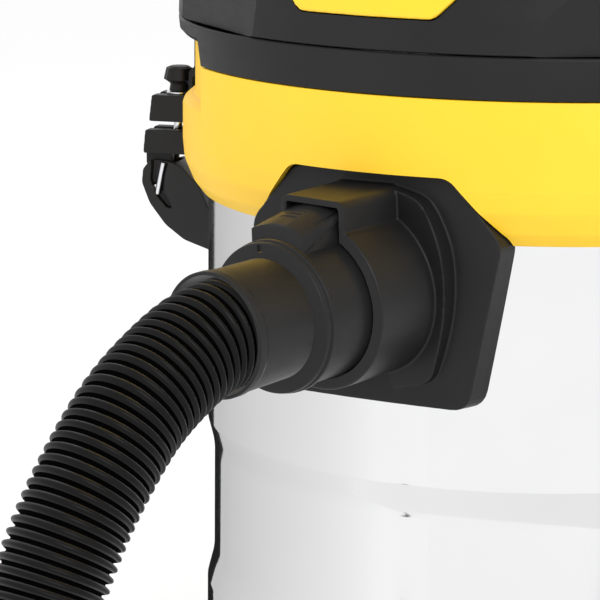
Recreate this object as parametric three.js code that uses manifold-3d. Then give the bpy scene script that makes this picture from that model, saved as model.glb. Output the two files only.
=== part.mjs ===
// Wet and dry shop vacuum: a stainless drum on a castor base, a yellow collar held to a black motor head
// by two side latches, and a ribbed suction hose in an angled front socket.
// Millimetres, +Z up. The origin is on the floor, under the middle of the machine; the inlet faces -Y.
import * as THREE from "three";
import { mergeVertices } from "three/addons/utils/BufferGeometryUtils.js";
import Module from "manifold-3d";

const wasm = await Module();
wasm.setup();

const GAP = 0.3; // clearance between touching pieces
const ROUND = 36; // sides of the large round bodies
const SMALL_ROUND = 16; // sides of the small turned pieces
const BIG = 400; // reach of a cutting tool that passes right through

// Drum and collar
const DRUM_RADIUS = 149.3;
const DRUM_WALL = 1.2;
const DRUM_BOTTOM = 78;
const WAIST_RADIUS = 146.2; // the drum between its lower swell and its bead
const BEAD_HEIGHT = 236;
const SWELL_HEIGHT = 163;
const RIM_HEIGHT = 400; // top edge of the collar
const COLLAR_RADIUS = 160.7;

// Head
const SEAM_HEIGHT = 418;
const HEAD_RADIUS = 163;
const DECK_HEIGHT = 500;
const DECK_RADIUS = 105;
const SHELL = 3; // wall of the moulded covers
const BLOWER_REACH = 193.87; // the blower port stands as far behind as the inlet does in front
const MOTOR_Y = 38; // the motor stands behind the filter

// Filter door in the front of the head
const DOOR_HALF_WIDTH = 40;
const DOOR_BOTTOM = 432.5;
const DOOR_HINGE_Y = -20;
const DOOR_HINGE_Z = 501.4;

// Inlet socket: its axis is turned towards -X, so that the air swirls, and droops a little
const PLATE_FACE = 154; // distance of the plate's face from the drum's axis
const BOSS_FACE = 162.2; // the same for the boss that carries the sleeve
const INLET_HEIGHT = 319;
const INLET_SKEW = THREE.MathUtils.degToRad(10.4);
const INLET_DROP = THREE.MathUtils.degToRad(3.6);
const SLEEVE_RADIUS = 35.5;
const SLEEVE_LENGTH = 34;
const BORE_RADIUS = 30.6;
const KEYWAY_HALF_WIDTH = 16.5;
const KEYWAY_TOP = 44;
const BODY_RADIUS = 30; // the connector body in the sleeve
const NECK_RADIUS = 22.5;
const RING_START = 56;
const CUFF_START = 62.4;
const CUFF_END = 95;

// Hose
const HOSE_RADIUS = 22.3;
const HOSE_BORE = 20.7;
const HOSE_SIDES = 10;
const HOSE_STEPS = 56;
const GRIP_X = -160; // the hand grip lies along -Y from the end of the hose
const GRIP_HEIGHT = 26;
const GRIP_START = -590;

// Latches, one on each side, measured from the front
const LATCH_ANGLE = 75;
const LATCH_WIDTH = 19;
const LEVER_WIDTH = 22;
const LATCH_PIN = [179, 332]; // radius and height of the latch's pivot
const PIN_RADIUS = 2;
const RECESS_HALF_WIDTH = 94; // finger recess behind each latch, cut into the collar's and the head's edge
const RECESS_FLOOR = 155.2;
const RECESS_BOTTOM = 384;

// Carrying handle
const HANDLE_HEIGHT = 512;
const HANDLE_ARM_X = 72;

// Castors
const CASTOR_XY = 108;
const WHEEL_RADIUS = 25;
const WHEEL_TRAIL = 18;

const look = (color, roughness, metalness = 0) =>
  new THREE.MeshStandardMaterial({ color, roughness, metalness });
const BLACK = look(0x1d1d1e, 0.55);
const SATIN_BLACK = look(0x161617, 0.4);
const YELLOW = look(0xffd31f, 0.45);
const STAINLESS = look(0xd9d9d9, 0.25, 1);
const BRIGHT_STEEL = look(0xc9ccd0, 0.2, 1);
const RUBBER = look(0x2a2a2a, 0.85);
const PAPER = look(0xe9e2cf, 0.9);
const COPPER = look(0xb0683a, 0.4, 1);
const NATURAL = look(0xe6e4dc, 0.5);

// A manifold-3d solid of a closed geometry, turned right side out where its faces point in.
function solid(geometry) {
  const bare = geometry.index ? geometry.toNonIndexed() : geometry.clone();
  bare.deleteAttribute("normal");
  bare.deleteAttribute("uv");
  const merged = mergeVertices(bare, 1e-4);
  const vertProperties = merged.attributes.position.array;
  const triVerts = new Uint32Array(merged.index.array);
  const made = new wasm.Manifold(new wasm.Mesh({ numProp: 3, vertProperties, triVerts }));
  if (made.volume() > 0) return made;
  for (let i = 0; i < triVerts.length; i += 3) {
    [triVerts[i + 1], triVerts[i + 2]] = [triVerts[i + 2], triVerts[i + 1]];
  }
  return new wasm.Manifold(new wasm.Mesh({ numProp: 3, vertProperties, triVerts }));
}

function piece(name, shape, material) {
  const { vertProperties, triVerts } = shape.getMesh();
  const geometry = new THREE.BufferGeometry();
  geometry.setAttribute("position", new THREE.BufferAttribute(new Float32Array(vertProperties), 3));
  geometry.setIndex(new THREE.BufferAttribute(new Uint32Array(triVerts), 1));
  geometry.computeVertexNormals();
  const mesh = new THREE.Mesh(geometry, material);
  mesh.name = name;
  return mesh;
}

// A turned body about Z from [radius, height] pairs; a profile that leaves the axis is closed on itself.
function turned(profile, sides = SMALL_ROUND, x = 0, y = 0) {
  const points = profile.map(([radius, height]) => new THREE.Vector2(radius, height));
  if (profile[0][0] > 0) points.push(points[0].clone());
  const geometry = new THREE.LatheGeometry(points, sides);
  return solid(geometry.rotateX(Math.PI / 2).translate(x, y, 0));
}

// A turned body about the inlet's own axis: the heights run outwards, along -Y.
function turnedOutwards(profile, sides = 24) {
  const points = profile.map(([radius, reach]) => new THREE.Vector2(radius, reach));
  if (profile[0][0] > 0) points.push(points[0].clone());
  return solid(new THREE.LatheGeometry(points, sides).rotateX(Math.PI));
}

function box(x0, x1, y0, y1, z0, z1, turn = 0) {
  const geometry = new THREE.BoxGeometry(x1 - x0, y1 - y0, z1 - z0);
  return solid(geometry.translate((x0 + x1) / 2, (y0 + y1) / 2, (z0 + z1) / 2).rotateZ(turn));
}

// A cylinder along "x", "y" or "z", centred on a point.
function rod(radius, length, along, [x, y, z], sides = SMALL_ROUND) {
  const geometry = new THREE.CylinderGeometry(radius, radius, length, sides);
  if (along === "x") geometry.rotateZ(Math.PI / 2);
  if (along === "z") geometry.rotateX(Math.PI / 2);
  return solid(geometry.translate(x, y, z));
}

// A closed outline with its corners cut back by corner and rounded.
function outline(points, corner) {
  const at = points.map(([x, y]) => new THREE.Vector2(x, y));
  if (corner === 0) return new THREE.Shape(at);
  const shape = new THREE.Shape();
  at.forEach((here, i) => {
    const before = at[(i + at.length - 1) % at.length];
    const after = at[(i + 1) % at.length];
    const from = here.clone().add(before.clone().sub(here).setLength(corner));
    const to = here.clone().add(after.clone().sub(here).setLength(corner));
    if (i === 0) shape.moveTo(from.x, from.y);
    else shape.lineTo(from.x, from.y);
    shape.quadraticCurveTo(here.x, here.y, to.x, to.y);
  });
  shape.closePath();
  return shape;
}

// An outline in X and Z, extruded along Y from the front (low Y) to the back.
function slab(points, front, back, corner = 0, curveSegments = 1) {
  const options = { depth: back - front, bevelEnabled: false, curveSegments };
  const geometry = new THREE.ExtrudeGeometry(outline(points, corner), options);
  return solid(geometry.rotateX(Math.PI / 2).translate(0, back, 0));
}

const mirrored = (half) => [...half, ...half.map(([x, z]) => [-x, z]).reverse()];

// The six-sided outline of the inlet plate, scaled about the middle of the socket.
function plateOutline(widthScale, heightScale) {
  const half = [
    [36.8, 367.6],
    [59.2, 341.8],
    [44.7, 271.8],
  ];
  return mirrored(
    half.map(([x, z]) => [x * widthScale, INLET_HEIGHT + (z - INLET_HEIGHT) * heightScale]),
  );
}

// Half outline of the boss on the inlet plate, from its top to its bottom.
const BOSS_OUTLINE = [
  [12, 362.6],
  [26, 359],
  [31.4, 353],
  [36, 344],
  [39.2, 327],
  [38.6, 311],
  [34, 291],
  [30.6, 284],
  [13, 278.6],
];

// ---------- drum, collar and base ----------

function drumEnvelope(extra) {
  return [
    [0, DRUM_BOTTOM - extra],
    [129, DRUM_BOTTOM - extra],
    [143.4 + extra, 84 - extra],
    [DRUM_RADIUS + extra, 98],
  ];
}

// The hole that the inlet's spigot passes through.
function spigotHole() {
  const geometry = new THREE.CylinderGeometry(37, 37, 60, 32);
  geometry.rotateX(INLET_DROP).rotateZ(-INLET_SKEW);
  return solid(geometry.translate(0, -PLATE_FACE, INLET_HEIGHT));
}

function steelDrum() {
  const rim = RIM_HEIGHT - 4.6;
  const inner = DRUM_RADIUS - DRUM_WALL;
  const shell = turned(
    [
      ...drumEnvelope(0),
      [DRUM_RADIUS, SWELL_HEIGHT],
      [WAIST_RADIUS, SWELL_HEIGHT + 7],
      [WAIST_RADIUS, BEAD_HEIGHT - 7],
      [DRUM_RADIUS, BEAD_HEIGHT],
      [DRUM_RADIUS, rim - 3.8],
      [DRUM_RADIUS + 3.3, rim - 3.8],
      [DRUM_RADIUS + 3.3, rim],
      [inner, rim],
      [inner, BEAD_HEIGHT + 0.4],
      [WAIST_RADIUS - DRUM_WALL, BEAD_HEIGHT - 6.6],
      [WAIST_RADIUS - DRUM_WALL, SWELL_HEIGHT + 6.6],
      [inner, SWELL_HEIGHT - 0.4],
      [inner, 98.4],
      [142.4, 85],
      [128.6, DRUM_BOTTOM + DRUM_WALL],
      [0, DRUM_BOTTOM + DRUM_WALL],
    ],
    ROUND,
  );
  return piece("steel_drum", shell.subtract(spigotHole()), STAINLESS);
}

const latchTurn = (side) => THREE.MathUtils.degToRad(side * LATCH_ANGLE - 90);

// A turned body kept only where it passes behind a latch.
function arcAtLatch(profile, halfWidth, side) {
  const keep = box(80, BIG, -halfWidth, halfWidth, 0, BIG + DECK_HEIGHT, latchTurn(side));
  return turned(profile, ROUND).intersect(keep);
}

function drumCollar() {
  let ring = turned(
    [
      [150.4, 341],
      [151.6, 340],
      [155.8, 346],
      [159.6, 354.5],
      [COLLAR_RADIUS, 362],
      [COLLAR_RADIUS, RIM_HEIGHT],
      [150.4, RIM_HEIGHT],
      [150.4, 396.2],
      [157, 396.2],
      [157, 363],
      [153, 350],
      [150.4, 345.5],
    ],
    ROUND,
  );
  for (const side of [-1, 1]) {
    const pad = [
      [153, RECESS_BOTTOM - 3],
      [158, RECESS_BOTTOM - 3],
      [158, RIM_HEIGHT],
      [153, RIM_HEIGHT],
    ];
    const recess = [
      [RECESS_FLOOR, RECESS_BOTTOM],
      [175, RECESS_BOTTOM],
      [175, RIM_HEIGHT + 10],
      [RECESS_FLOOR, RIM_HEIGHT + 10],
    ];
    ring = ring.add(arcAtLatch(pad, RECESS_HALF_WIDTH + 3, side));
    ring = ring.subtract(arcAtLatch(recess, RECESS_HALF_WIDTH, side));
  }
  const opening = slab(plateOutline(1.02, 1.015), -BIG, 0, 9, 3);
  return piece("drum_collar", ring.subtract(opening), YELLOW);
}

function baseChassis() {
  let dish = turned(
    [
      [0, 72],
      [122, 72],
      [124, 60],
      [134, 60],
      [152, 72],
      [155, 104],
      [0, 104],
    ],
    ROUND,
  );
  for (const x of [-CASTOR_XY, CASTOR_XY]) {
    for (const y of [-CASTOR_XY, CASTOR_XY]) {
      dish = dish.add(rod(26, 24, "z", [x, y, 70]));
      dish = dish.subtract(rod(5.6, 30, "z", [x, y, 62]));
    }
  }
  const seat = turned([...drumEnvelope(0.7), [DRUM_RADIUS + 0.7, 120], [0, 120]], ROUND);
  return piece("base_chassis", dish.subtract(seat), BLACK);
}

// ---------- head ----------

function headBase() {
  let base = turned(
    [
      [0, 403],
      [158, 403],
      [158.4, RIM_HEIGHT + 0.4],
      [COLLAR_RADIUS, RIM_HEIGHT + 0.4],
      [HEAD_RADIUS, SEAM_HEIGHT],
      [HEAD_RADIUS - 3.4, SEAM_HEIGHT],
      [158.6, 407],
      [0, 407],
    ],
    ROUND,
  );
  base = base.add(rod(9, 64, "z", [-78, -45, 438]));
  base = base.subtract(rod(18, 20, "z", [0, MOTOR_Y, 405]));
  const notch = [
    [157.5, RIM_HEIGHT - 1],
    [175, RIM_HEIGHT - 1],
    [175, 417],
    [162, 406],
    [157.5, 402.2],
  ];
  for (const side of [-1, 1]) {
    base = base.subtract(arcAtLatch(notch, RECESS_HALF_WIDTH, side));
    base = base.subtract(box(156.8, 180, -28.5, 28.5, 395, 411.6, latchTurn(side)));
  }
  return piece("head_base", base, BLACK);
}

function headGasket() {
  const ring = turned(
    [
      [147.5, RIM_HEIGHT + GAP],
      [156.4, RIM_HEIGHT + GAP],
      [156.4, 402.7],
      [147.5, 402.7],
    ],
    ROUND,
  );
  return piece("head_gasket", ring, RUBBER);
}

// The dome of the head, grown outwards by lift; below says how deep the inner face lies.
function dome(lift, below) {
  const outer = [
    [DECK_RADIUS, DECK_HEIGHT],
    [126, 495],
    [143, 485],
    [154, 470],
    [160, 452],
    [162.4, 432],
    [HEAD_RADIUS, SEAM_HEIGHT + 0.4],
  ];
  const shifted = (by) => outer.map(([r, z], i) => [r + (i > 0 ? by : by / 2), z + (i < 6 ? by : 0)]);
  return turned(
    [
      [0, DECK_HEIGHT + lift],
      ...shifted(lift),
      ...shifted(-below).reverse(),
      [0, DECK_HEIGHT - below],
    ],
    ROUND,
  );
}

function doorPrism(extra) {
  const half = [
    [DOOR_HALF_WIDTH + extra, DECK_HEIGHT + 20],
    [DOOR_HALF_WIDTH + extra, DOOR_BOTTOM + 10 - extra],
    [DOOR_HALF_WIDTH - 7 + extra, DOOR_BOTTOM - extra],
  ];
  return slab(mirrored(half), -BIG, DOOR_HINGE_Y + extra);
}

function headCover() {
  let cover = dome(0, SHELL);
  for (const side of [-1, 1]) {
    const lug = box(side > 0 ? 60 : -66, side > 0 ? 66 : -60, -11, 11, DECK_HEIGHT - 2, 520);
    cover = cover.add(lug);
    for (let slot = 0; slot < 5; slot += 1) {
      const z = 430 + slot * 7;
      cover = cover.subtract(box(120, 180, -22, 22, z, z + 3.4, latchTurn(side * 1.7)));
    }
  }
  cover = cover.subtract(rod(PIN_RADIUS + 1.4, 160, "x", [0, 0, HANDLE_HEIGHT]));
  cover = cover.subtract(doorPrism(0.5));
  cover = cover.subtract(rod(11.7, 40, "z", [-78, -45, DECK_HEIGHT]));
  cover = cover.subtract(rod(4.6, 40, "z", [78, -45, DECK_HEIGHT]));
  cover = cover.subtract(rod(18.4, 60, "y", [0, 160, 444]));
  cover = cover.subtract(solid(glandTurn(new THREE.CylinderGeometry(7.6, 7.6, 40, SMALL_ROUND))));
  return piece("head_cover", cover, BLACK);
}

function filterDoor() {
  return piece("filter_door", dome(1.2, 2.4).intersect(doorPrism(0)), YELLOW);
}

function filterCassette() {
  const frame = box(-40, 40, -135, -46, 424, 478);
  return piece("filter_cassette", frame.subtract(box(-37, 37, -132, -49, 400, 500)), BLACK);
}

function flatFilter() {
  const pleats = 14;
  const top = [];
  const bottom = [];
  for (let i = 0; i <= pleats * 2; i += 1) {
    const x = -36.5 + (73 * i) / (pleats * 2);
    const crest = i % 2 ? 5 : 0;
    top.push([x, 470 - crest]);
    bottom.unshift([x, 438 - crest]);
  }
  return piece("flat_filter", slab([...top, ...bottom], -131.5, -49.5), PAPER);
}

function motor() {
  const housing = [
    [18, 408],
    [66, 408],
    [66, 470],
    [63, 470],
    [63, 411],
    [18, 411],
  ];
  const spiderBottom = 429;
  const core = [
    [32, 434],
    [46, 434],
    [46, 462],
    [32, 462],
  ];
  const hub = [
    [10.4, spiderBottom],
    [14, spiderBottom],
    [14, 434],
    [10.4, 434],
  ];
  let arms = box(-61.5, 61.5, -6, 6, spiderBottom, 434.5);
  arms = arms.add(box(-6, 6, -61.5, 61.5, spiderBottom, 434.5));
  arms = arms.subtract(rod(12, 20, "z", [0, 0, 432]));
  const stator = arms.add(turned(core)).add(turned(hub));
  const moved = (shape) => shape.translate(0, MOTOR_Y, 0);
  const bearing = (z) => [
    [4.4, z],
    [10, z],
    [10, z + 4.6],
    [4.4, z + 4.6],
  ];
  const bracket = [
    [10.4, 466],
    [62.6, 466],
    [62.6, 469.6],
    [10.4, 469.6],
  ];
  const rotor = [
    [0, 412.6],
    [4, 412.6],
    [4, 436],
    [28, 436],
    [28, 461],
    [12, 461],
    [12, 464],
    [4, 464],
    [4, 478],
    [0, 478],
  ];
  const impeller = [
    [4.4, 415.6],
    [54, 415.6],
    [54, 420],
    [20, 427],
    [4.4, 427],
  ];
  const damper = [
    [56, 470.4],
    [66, 470.4],
    [66, DECK_HEIGHT - SHELL - 0.4],
    [56, DECK_HEIGHT - SHELL - 0.4],
  ];
  return [
    piece("motor_housing", moved(turned(housing)), BLACK),
    piece("motor_stator", moved(stator), COPPER),
    piece("motor_bracket", moved(turned(bracket)), BRIGHT_STEEL),
    piece("lower_bearing", moved(turned(bearing(spiderBottom), 16)), BRIGHT_STEEL),
    piece("upper_bearing", moved(turned(bearing(466), 16)), BRIGHT_STEEL),
    piece("motor_rotor", moved(turned(rotor)), COPPER),
    piece("impeller", moved(turned(impeller)), BRIGHT_STEEL),
    piece("motor_damper", moved(turned(damper)), RUBBER),
  ];
}

function floatValve() {
  let cage = turned([
    [0, 341],
    [38, 341],
    [38, 402.6],
    [35, 402.6],
    [35, 344],
    [0, 344],
  ]);
  for (let i = 0; i < 3; i += 1) {
    cage = cage.subtract(box(-60, 60, -9, 9, 350, 393, (i * Math.PI) / 3));
  }
  const ball = new THREE.SphereGeometry(22, 16, 10).rotateX(Math.PI / 2).translate(0, MOTOR_Y, 366.4);
  return [
    piece("float_cage", cage.translate(0, MOTOR_Y, 0), NATURAL),
    piece("float_ball", solid(ball), NATURAL),
  ];
}

function deckControls() {
  const knob = turned(
    [
      [0, 488],
      [4, 488],
      [4, 500.5],
      [18, 500.5],
      [17, 508],
      [0, 508],
    ],
    SMALL_ROUND,
    78,
    -45,
  );
  const ridge = box(75, 81, -60, -30, 506, 516);
  const button = turned(
    [
      [0, 493.6],
      [14, 493.6],
      [14, 496.5],
      [11, 496.5],
      [11, 508],
      [0, 508],
    ],
    SMALL_ROUND,
    -78,
    -45,
  );
  const spring = turned(
    [
      [6, 470.4],
      [8.5, 470.4],
      [8.5, 493.2],
      [6, 493.2],
    ],
    16,
    -78,
    -45,
  );
  return [
    piece("switch_knob", knob.add(ridge), YELLOW),
    piece("clean_button", button, YELLOW),
    piece("button_spring", spring, BRIGHT_STEEL),
  ];
}

function carryHandle() {
  const path = new THREE.CatmullRomCurve3(
    [
      [-HANDLE_ARM_X, -2],
      [-HANDLE_ARM_X, 30],
      [-HANDLE_ARM_X, 60],
      [-64, 80],
      [-44, 88],
      [0, 90],
      [44, 88],
      [64, 80],
      [HANDLE_ARM_X, 60],
      [HANDLE_ARM_X, 30],
      [HANDLE_ARM_X, -2],
    ].map(([x, y]) => new THREE.Vector3(x, y, HANDLE_HEIGHT)),
  );
  const section = new THREE.Shape().absellipse(0, 0, 7, 5.4, 0, 2 * Math.PI);
  const bar = new THREE.ExtrudeGeometry(section, { steps: 22, extrudePath: path, curveSegments: 4 });
  let handle = solid(bar);
  for (const side of [-1, 1]) {
    handle = handle.add(rod(8.6, 11, "x", [side * HANDLE_ARM_X, 0, HANDLE_HEIGHT]));
    handle = handle.subtract(rod(PIN_RADIUS + 1.4, 30, "x", [side * HANDLE_ARM_X, 0, HANDLE_HEIGHT]));
  }
  const pins = [-1, 1].map((side) =>
    piece(
      side < 0 ? "handle_pin_left" : "handle_pin_right",
      rod(PIN_RADIUS + 1, 20, "x", [side * 69, 0, HANDLE_HEIGHT], 16),
      BRIGHT_STEEL,
    ),
  );
  return [piece("carry_handle", handle, BLACK), ...pins];
}

// The gland stands at the back left of the head, pointing out.
const GLAND_TURN = THREE.MathUtils.degToRad(30);
const glandTurn = (geometry) => geometry.translate(0, 165, 0).rotateZ(GLAND_TURN).translate(0, 0, 440);

function rearFittings() {
  const blower = [
    [14, 150],
    [18, 150],
    [18, BLOWER_REACH - 6],
    [21, BLOWER_REACH - 6],
    [21, BLOWER_REACH],
    [14, BLOWER_REACH],
  ];
  const port = turnedOutwards(blower, SMALL_ROUND).rotate([0, 0, 180]).translate(0, 0, 444);
  const gland = [
    [4.5, -11],
    [7.2, -11],
    [7.2, -1.5],
    [11, -1.5],
    [11, 1.5],
    [7.5, 2.5],
    [6.2, 22],
    [4.5, 22],
  ];
  const points = [...gland, gland[0]].map(([r, y]) => new THREE.Vector2(r, y));
  const hookFoot = rod(9, 5, "y", [0, 167.5, 440]);
  const hookArm = box(-5, 5, 168, 176, 404, 446);
  const hookLip = box(-5, 5, 168, 190, 400, 406);
  const hook = hookFoot.add(hookArm).add(hookLip);
  return [
    piece("blower_port", port, BLACK),
    piece("cord_gland", solid(glandTurn(new THREE.LatheGeometry(points, SMALL_ROUND))), RUBBER),
    piece("cord_hook", hook.rotate([0, 0, -36]), BLACK),
  ];
}

// ---------- inlet and hose ----------

function inletFrame(...meshes) {
  const group = new THREE.Group();
  group.position.set(0, -PLATE_FACE, INLET_HEIGHT);
  group.rotation.set(INLET_DROP, 0, -INLET_SKEW, "ZXY");
  group.add(...meshes);
  return group;
}

// A solid made about the inlet's own axis, moved to where the plate holds it.
function seated(shape) {
  const turns = [THREE.MathUtils.radToDeg(INLET_DROP), 0, -THREE.MathUtils.radToDeg(INLET_SKEW)];
  return shape.rotate(turns).translate(0, -PLATE_FACE, INLET_HEIGHT);
}

function inletSocket() {
  const drum = rod(DRUM_RADIUS + 0.6, 300, "z", [0, 0, 300], ROUND);
  const boss = slab(mirrored(BOSS_OUTLINE), -BOSS_FACE, -PLATE_FACE + 4);
  const plate = slab(plateOutline(1, 1), -PLATE_FACE, -120, 9, 3).subtract(drum).add(boss);
  const tube = turnedOutwards([
    [0, -14],
    [34.5, -14],
    [34.5, 2],
    [SLEEVE_RADIUS, 2],
    [SLEEVE_RADIUS, SLEEVE_LENGTH - 2],
    [SLEEVE_RADIUS - 1.4, SLEEVE_LENGTH],
    [0, SLEEVE_LENGTH],
  ]);
  const keyway = (halfWidth, bottom, top) =>
    mirrored([
      [halfWidth, top],
      [halfWidth, bottom],
    ]);
  const hump = slab(keyway(KEYWAY_HALF_WIDTH, 10, KEYWAY_TOP), -SLEEVE_LENGTH, 0, 4, 2);
  const hollow = slab(keyway(13.9, 5, 41.3), -BIG, -24);
  const bore = turnedOutwards([
    [0, -60],
    [BORE_RADIUS, -60],
    [BORE_RADIUS, 60],
    [0, 60],
  ]);
  const socket = plate.add(seated(tube.add(hump))).subtract(seated(bore.add(hollow)));
  return piece("inlet_socket", socket, BLACK);
}

function inletDeflector() {
  const hood = box(-38, 38, -141, -104, 280, 358);
  return piece("inlet_deflector", hood.subtract(box(-35, 60, -200, -107, 283, 355)), BLACK);
}

function connector() {
  const body = turnedOutwards([
    [19.5, -12],
    [BODY_RADIUS, -12],
    [BODY_RADIUS, RING_START - GAP],
    [NECK_RADIUS, RING_START - GAP],
    [NECK_RADIUS, 68],
    [19.5, 68],
  ]).subtract(box(-14.1, 14.1, -70, -25.5, 22.6, 60));
  const wedge = [
    [26, 27.2],
    [55.3, 27.2],
    [55.3, 34.5],
    [36, 40.4],
    [26, 40.4],
  ];
  const shape = new THREE.Shape(wedge.map(([reach, up]) => new THREE.Vector2(-reach, up)));
  const block = new THREE.ExtrudeGeometry(shape, { depth: 27, bevelEnabled: false });
  block.rotateX(Math.PI / 2).rotateZ(Math.PI / 2).translate(-13.5, 0, 0);
  const ring = turnedOutwards([
    [23, RING_START],
    [31.4, RING_START],
    [31.4, 58.4],
    [30.2, 59],
    [31, 60],
    [30, 62],
    [23, 62],
  ]);
  const cuff = turnedOutwards([
    [23, CUFF_START],
    [24.6, CUFF_START],
    [24.9, CUFF_END - 5],
    [25.7, CUFF_END - 3],
    [25.7, CUFF_END],
    [24.2, CUFF_END],
    [23.3, 80],
  ]);
  return inletFrame(
    piece("connector_body", body, BLACK),
    piece("release_button", solid(block), BLACK),
    piece("swivel_ring", ring, BLACK),
    piece("hose_cuff", cuff, BLACK),
  );
}

// The hose's centreline: out of the cuff, down to the floor, and once round in front of the machine.
const HOSE_ROUTE = [
  [-12.7, -223.2, 314.6],
  [-16, -241.2, 313.1],
  [-18.6, -255, 310.4],
  [-21.5, -271, 303.1],
  [-25, -291, 290.1],
  [-28, -308, 272.7],
  [-31, -323, 252.5],
  [-34, -337, 226.3],
  [-36, -351, 194.2],
  [-39, -367, 146.2],
  [-42, -383, 112],
  [-46, -405, 81.8],
  [-51, -433, 56.8],
  [-57, -465, 38.2],
  [-64, -501, 26.7],
  [-70, -538, 22.8],
  [-71, -624, 22.8],
  [-38, -706, 22.8],
  [26, -768, 22.8],
  [110, -801, 22.8],
  [202, -798, 22.8],
  [286, -758, 22.8],
  [348, -688, 22.8],
  [379, -598, 22.8],
  [371, -502, 22.8],
  [325, -416, 22.8],
  [246, -352, 22.8],
  [150, -316, 22.8],
  [50, -319, 22.8],
  [-43, -356, 22.8],
  [-115, -422, 22.8],
  [-154, -512, 25],
  [GRIP_X, GRIP_START + 24, GRIP_HEIGHT],
  [GRIP_X, GRIP_START, GRIP_HEIGHT],
];

function suctionHose() {
  const path = new THREE.CatmullRomCurve3(HOSE_ROUTE.map((point) => new THREE.Vector3(...point)));
  const ring = (radius) =>
    Array.from({ length: HOSE_SIDES }, (_, i) => {
      const angle = (2 * Math.PI * i) / HOSE_SIDES;
      return new THREE.Vector2(radius * Math.cos(angle), radius * Math.sin(angle));
    });
  const section = new THREE.Shape(ring(HOSE_RADIUS));
  section.holes.push(new THREE.Path(ring(HOSE_BORE)));
  const tube = new THREE.ExtrudeGeometry(section, { steps: HOSE_STEPS, extrudePath: path });
  return piece("suction_hose", solid(tube), SATIN_BLACK);
}

function handGrip() {
  const cuff = turnedOutwards(
    [
      [23.4, -18],
      [25.7, -18],
      [25.7, 26],
      [24.4, 30],
      [20.4, 30],
      [20.4, 1.8],
      [23.4, 1.8],
    ],
    32,
  );
  const path = new THREE.CatmullRomCurve3(
    [
      [0, -2.2],
      [0, -34],
      [0, -62],
      [-2, -88],
      [-7, -116],
      [-15, -144],
    ].map(([x, y]) => new THREE.Vector3(GRIP_X + x, GRIP_START + y, GRIP_HEIGHT)),
  );
  const section = new THREE.Shape().absarc(0, 0, 20, 0, 2 * Math.PI);
  section.holes.push(new THREE.Path().absarc(0, 0, 16.6, 0, 2 * Math.PI, true));
  const tube = new THREE.ExtrudeGeometry(section, { steps: 9, extrudePath: path, curveSegments: 8 });
  const slider = turnedOutwards([
    [20.5, 34],
    [23.6, 35],
    [23.6, 51],
    [20.5, 52],
  ]);
  const place = (shape) => shape.translate(GRIP_X, GRIP_START, GRIP_HEIGHT);
  return [
    piece("grip_cuff", place(cuff), BLACK),
    piece("hand_grip", solid(tube), BLACK),
    piece("air_slider", place(slider), BLACK),
  ];
}

// ---------- side latches ----------
// Each latch is made with its radius along X, its width along Y and its true height, then turned into place.

const profileSlab = (points, width) => slab(points, -width / 2, width / 2);

function latch(side) {
  const suffix = side < 0 ? "_left" : "_right";
  const [pinX, pinZ] = LATCH_PIN;
  const rodSlot = box(167.5, 195, -2.8, 2.8, 345, 380);
  const pinHole = rod(PIN_RADIUS + 0.35, 60, "y", [pinX, 0, pinZ], 16);
  const keeper = profileSlab(
    [
      [157.2, 411],
      [157.2, 385.2],
      [161.2, 384.4],
      [161.2, 363],
      [182.4, 363],
      [181, 375.2],
      [163.2, 375.2],
      [163.2, 386.5],
      [160.6, 389],
      [160.6, 411],
    ],
    LATCH_WIDTH,
  ).subtract(rodSlot);
  const block = [
    [161.2, 359],
    [161.2, 354],
    [158, 346.5],
    [185.8, 346.5],
    [184.4, 359],
  ];
  const arms = [
    [172, 347],
    [185, 347],
    [184, 332],
    [179, 327],
    [173.5, 331],
  ];
  const bracket = profileSlab(block, LATCH_WIDTH)
    .add(profileSlab(arms, 11.2))
    .subtract(rodSlot)
    .subtract(box(167.5, 195, -2.6, 2.6, 320, 347))
    .subtract(pinHole);
  const banana = [
    [184, 344],
    [187.2, 339],
    [187.6, 334.7],
    [182.9, 325.3],
    [174.6, 316],
    [165, 309.5],
    [156, 305.1],
    [156, 310],
    [158.5, 317],
    [161.5, 325],
    [164, 332],
    [166.5, 339],
    [170.5, 343.4],
  ];
  const lever = profileSlab(banana, LEVER_WIDTH)
    .subtract(rod(14.9, 12, "y", [pinX, 0, pinZ]))
    .subtract(pinHole);
  const shaft = new THREE.CatmullRomCurve3(
    [
      [pinX - 0.8, 335],
      [175, 347],
      [171.4, 360],
      [170.6, 376.2],
    ].map(([x, z]) => new THREE.Vector3(x, 0, z)),
  );
  const section = new THREE.Shape().absarc(0, 0, 1.9, 0, 2 * Math.PI);
  const shank = new THREE.ExtrudeGeometry(section, { steps: 8, extrudePath: shaft, curveSegments: 4 });
  const eye = rod(4.6, 4.4, "y", [pinX, 0, pinZ], 16);
  const pull = solid(shank).add(eye).subtract(pinHole);
  const knob = turned(
    [
      [0, 376.5],
      [4.6, 376.5],
      [4.6, 379.4],
      [7, 381],
      [6.4, 386.6],
      [4, 388],
      [0, 388],
    ],
    16,
    170.6,
    0,
  );
  const group = new THREE.Group();
  group.rotation.z = latchTurn(side);
  group.add(
    piece("latch_keeper" + suffix, keeper, BLACK),
    piece("latch_bracket" + suffix, bracket, BLACK),
    piece("latch_lever" + suffix, lever, SATIN_BLACK),
    piece("latch_rod" + suffix, pull, BRIGHT_STEEL),
    piece("latch_knob" + suffix, knob, BLACK),
    piece("latch_pin" + suffix, rod(PIN_RADIUS, 23, "y", [pinX, 0, pinZ], 16), BRIGHT_STEEL),
  );
  return group;
}

// ---------- castors ----------

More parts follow.
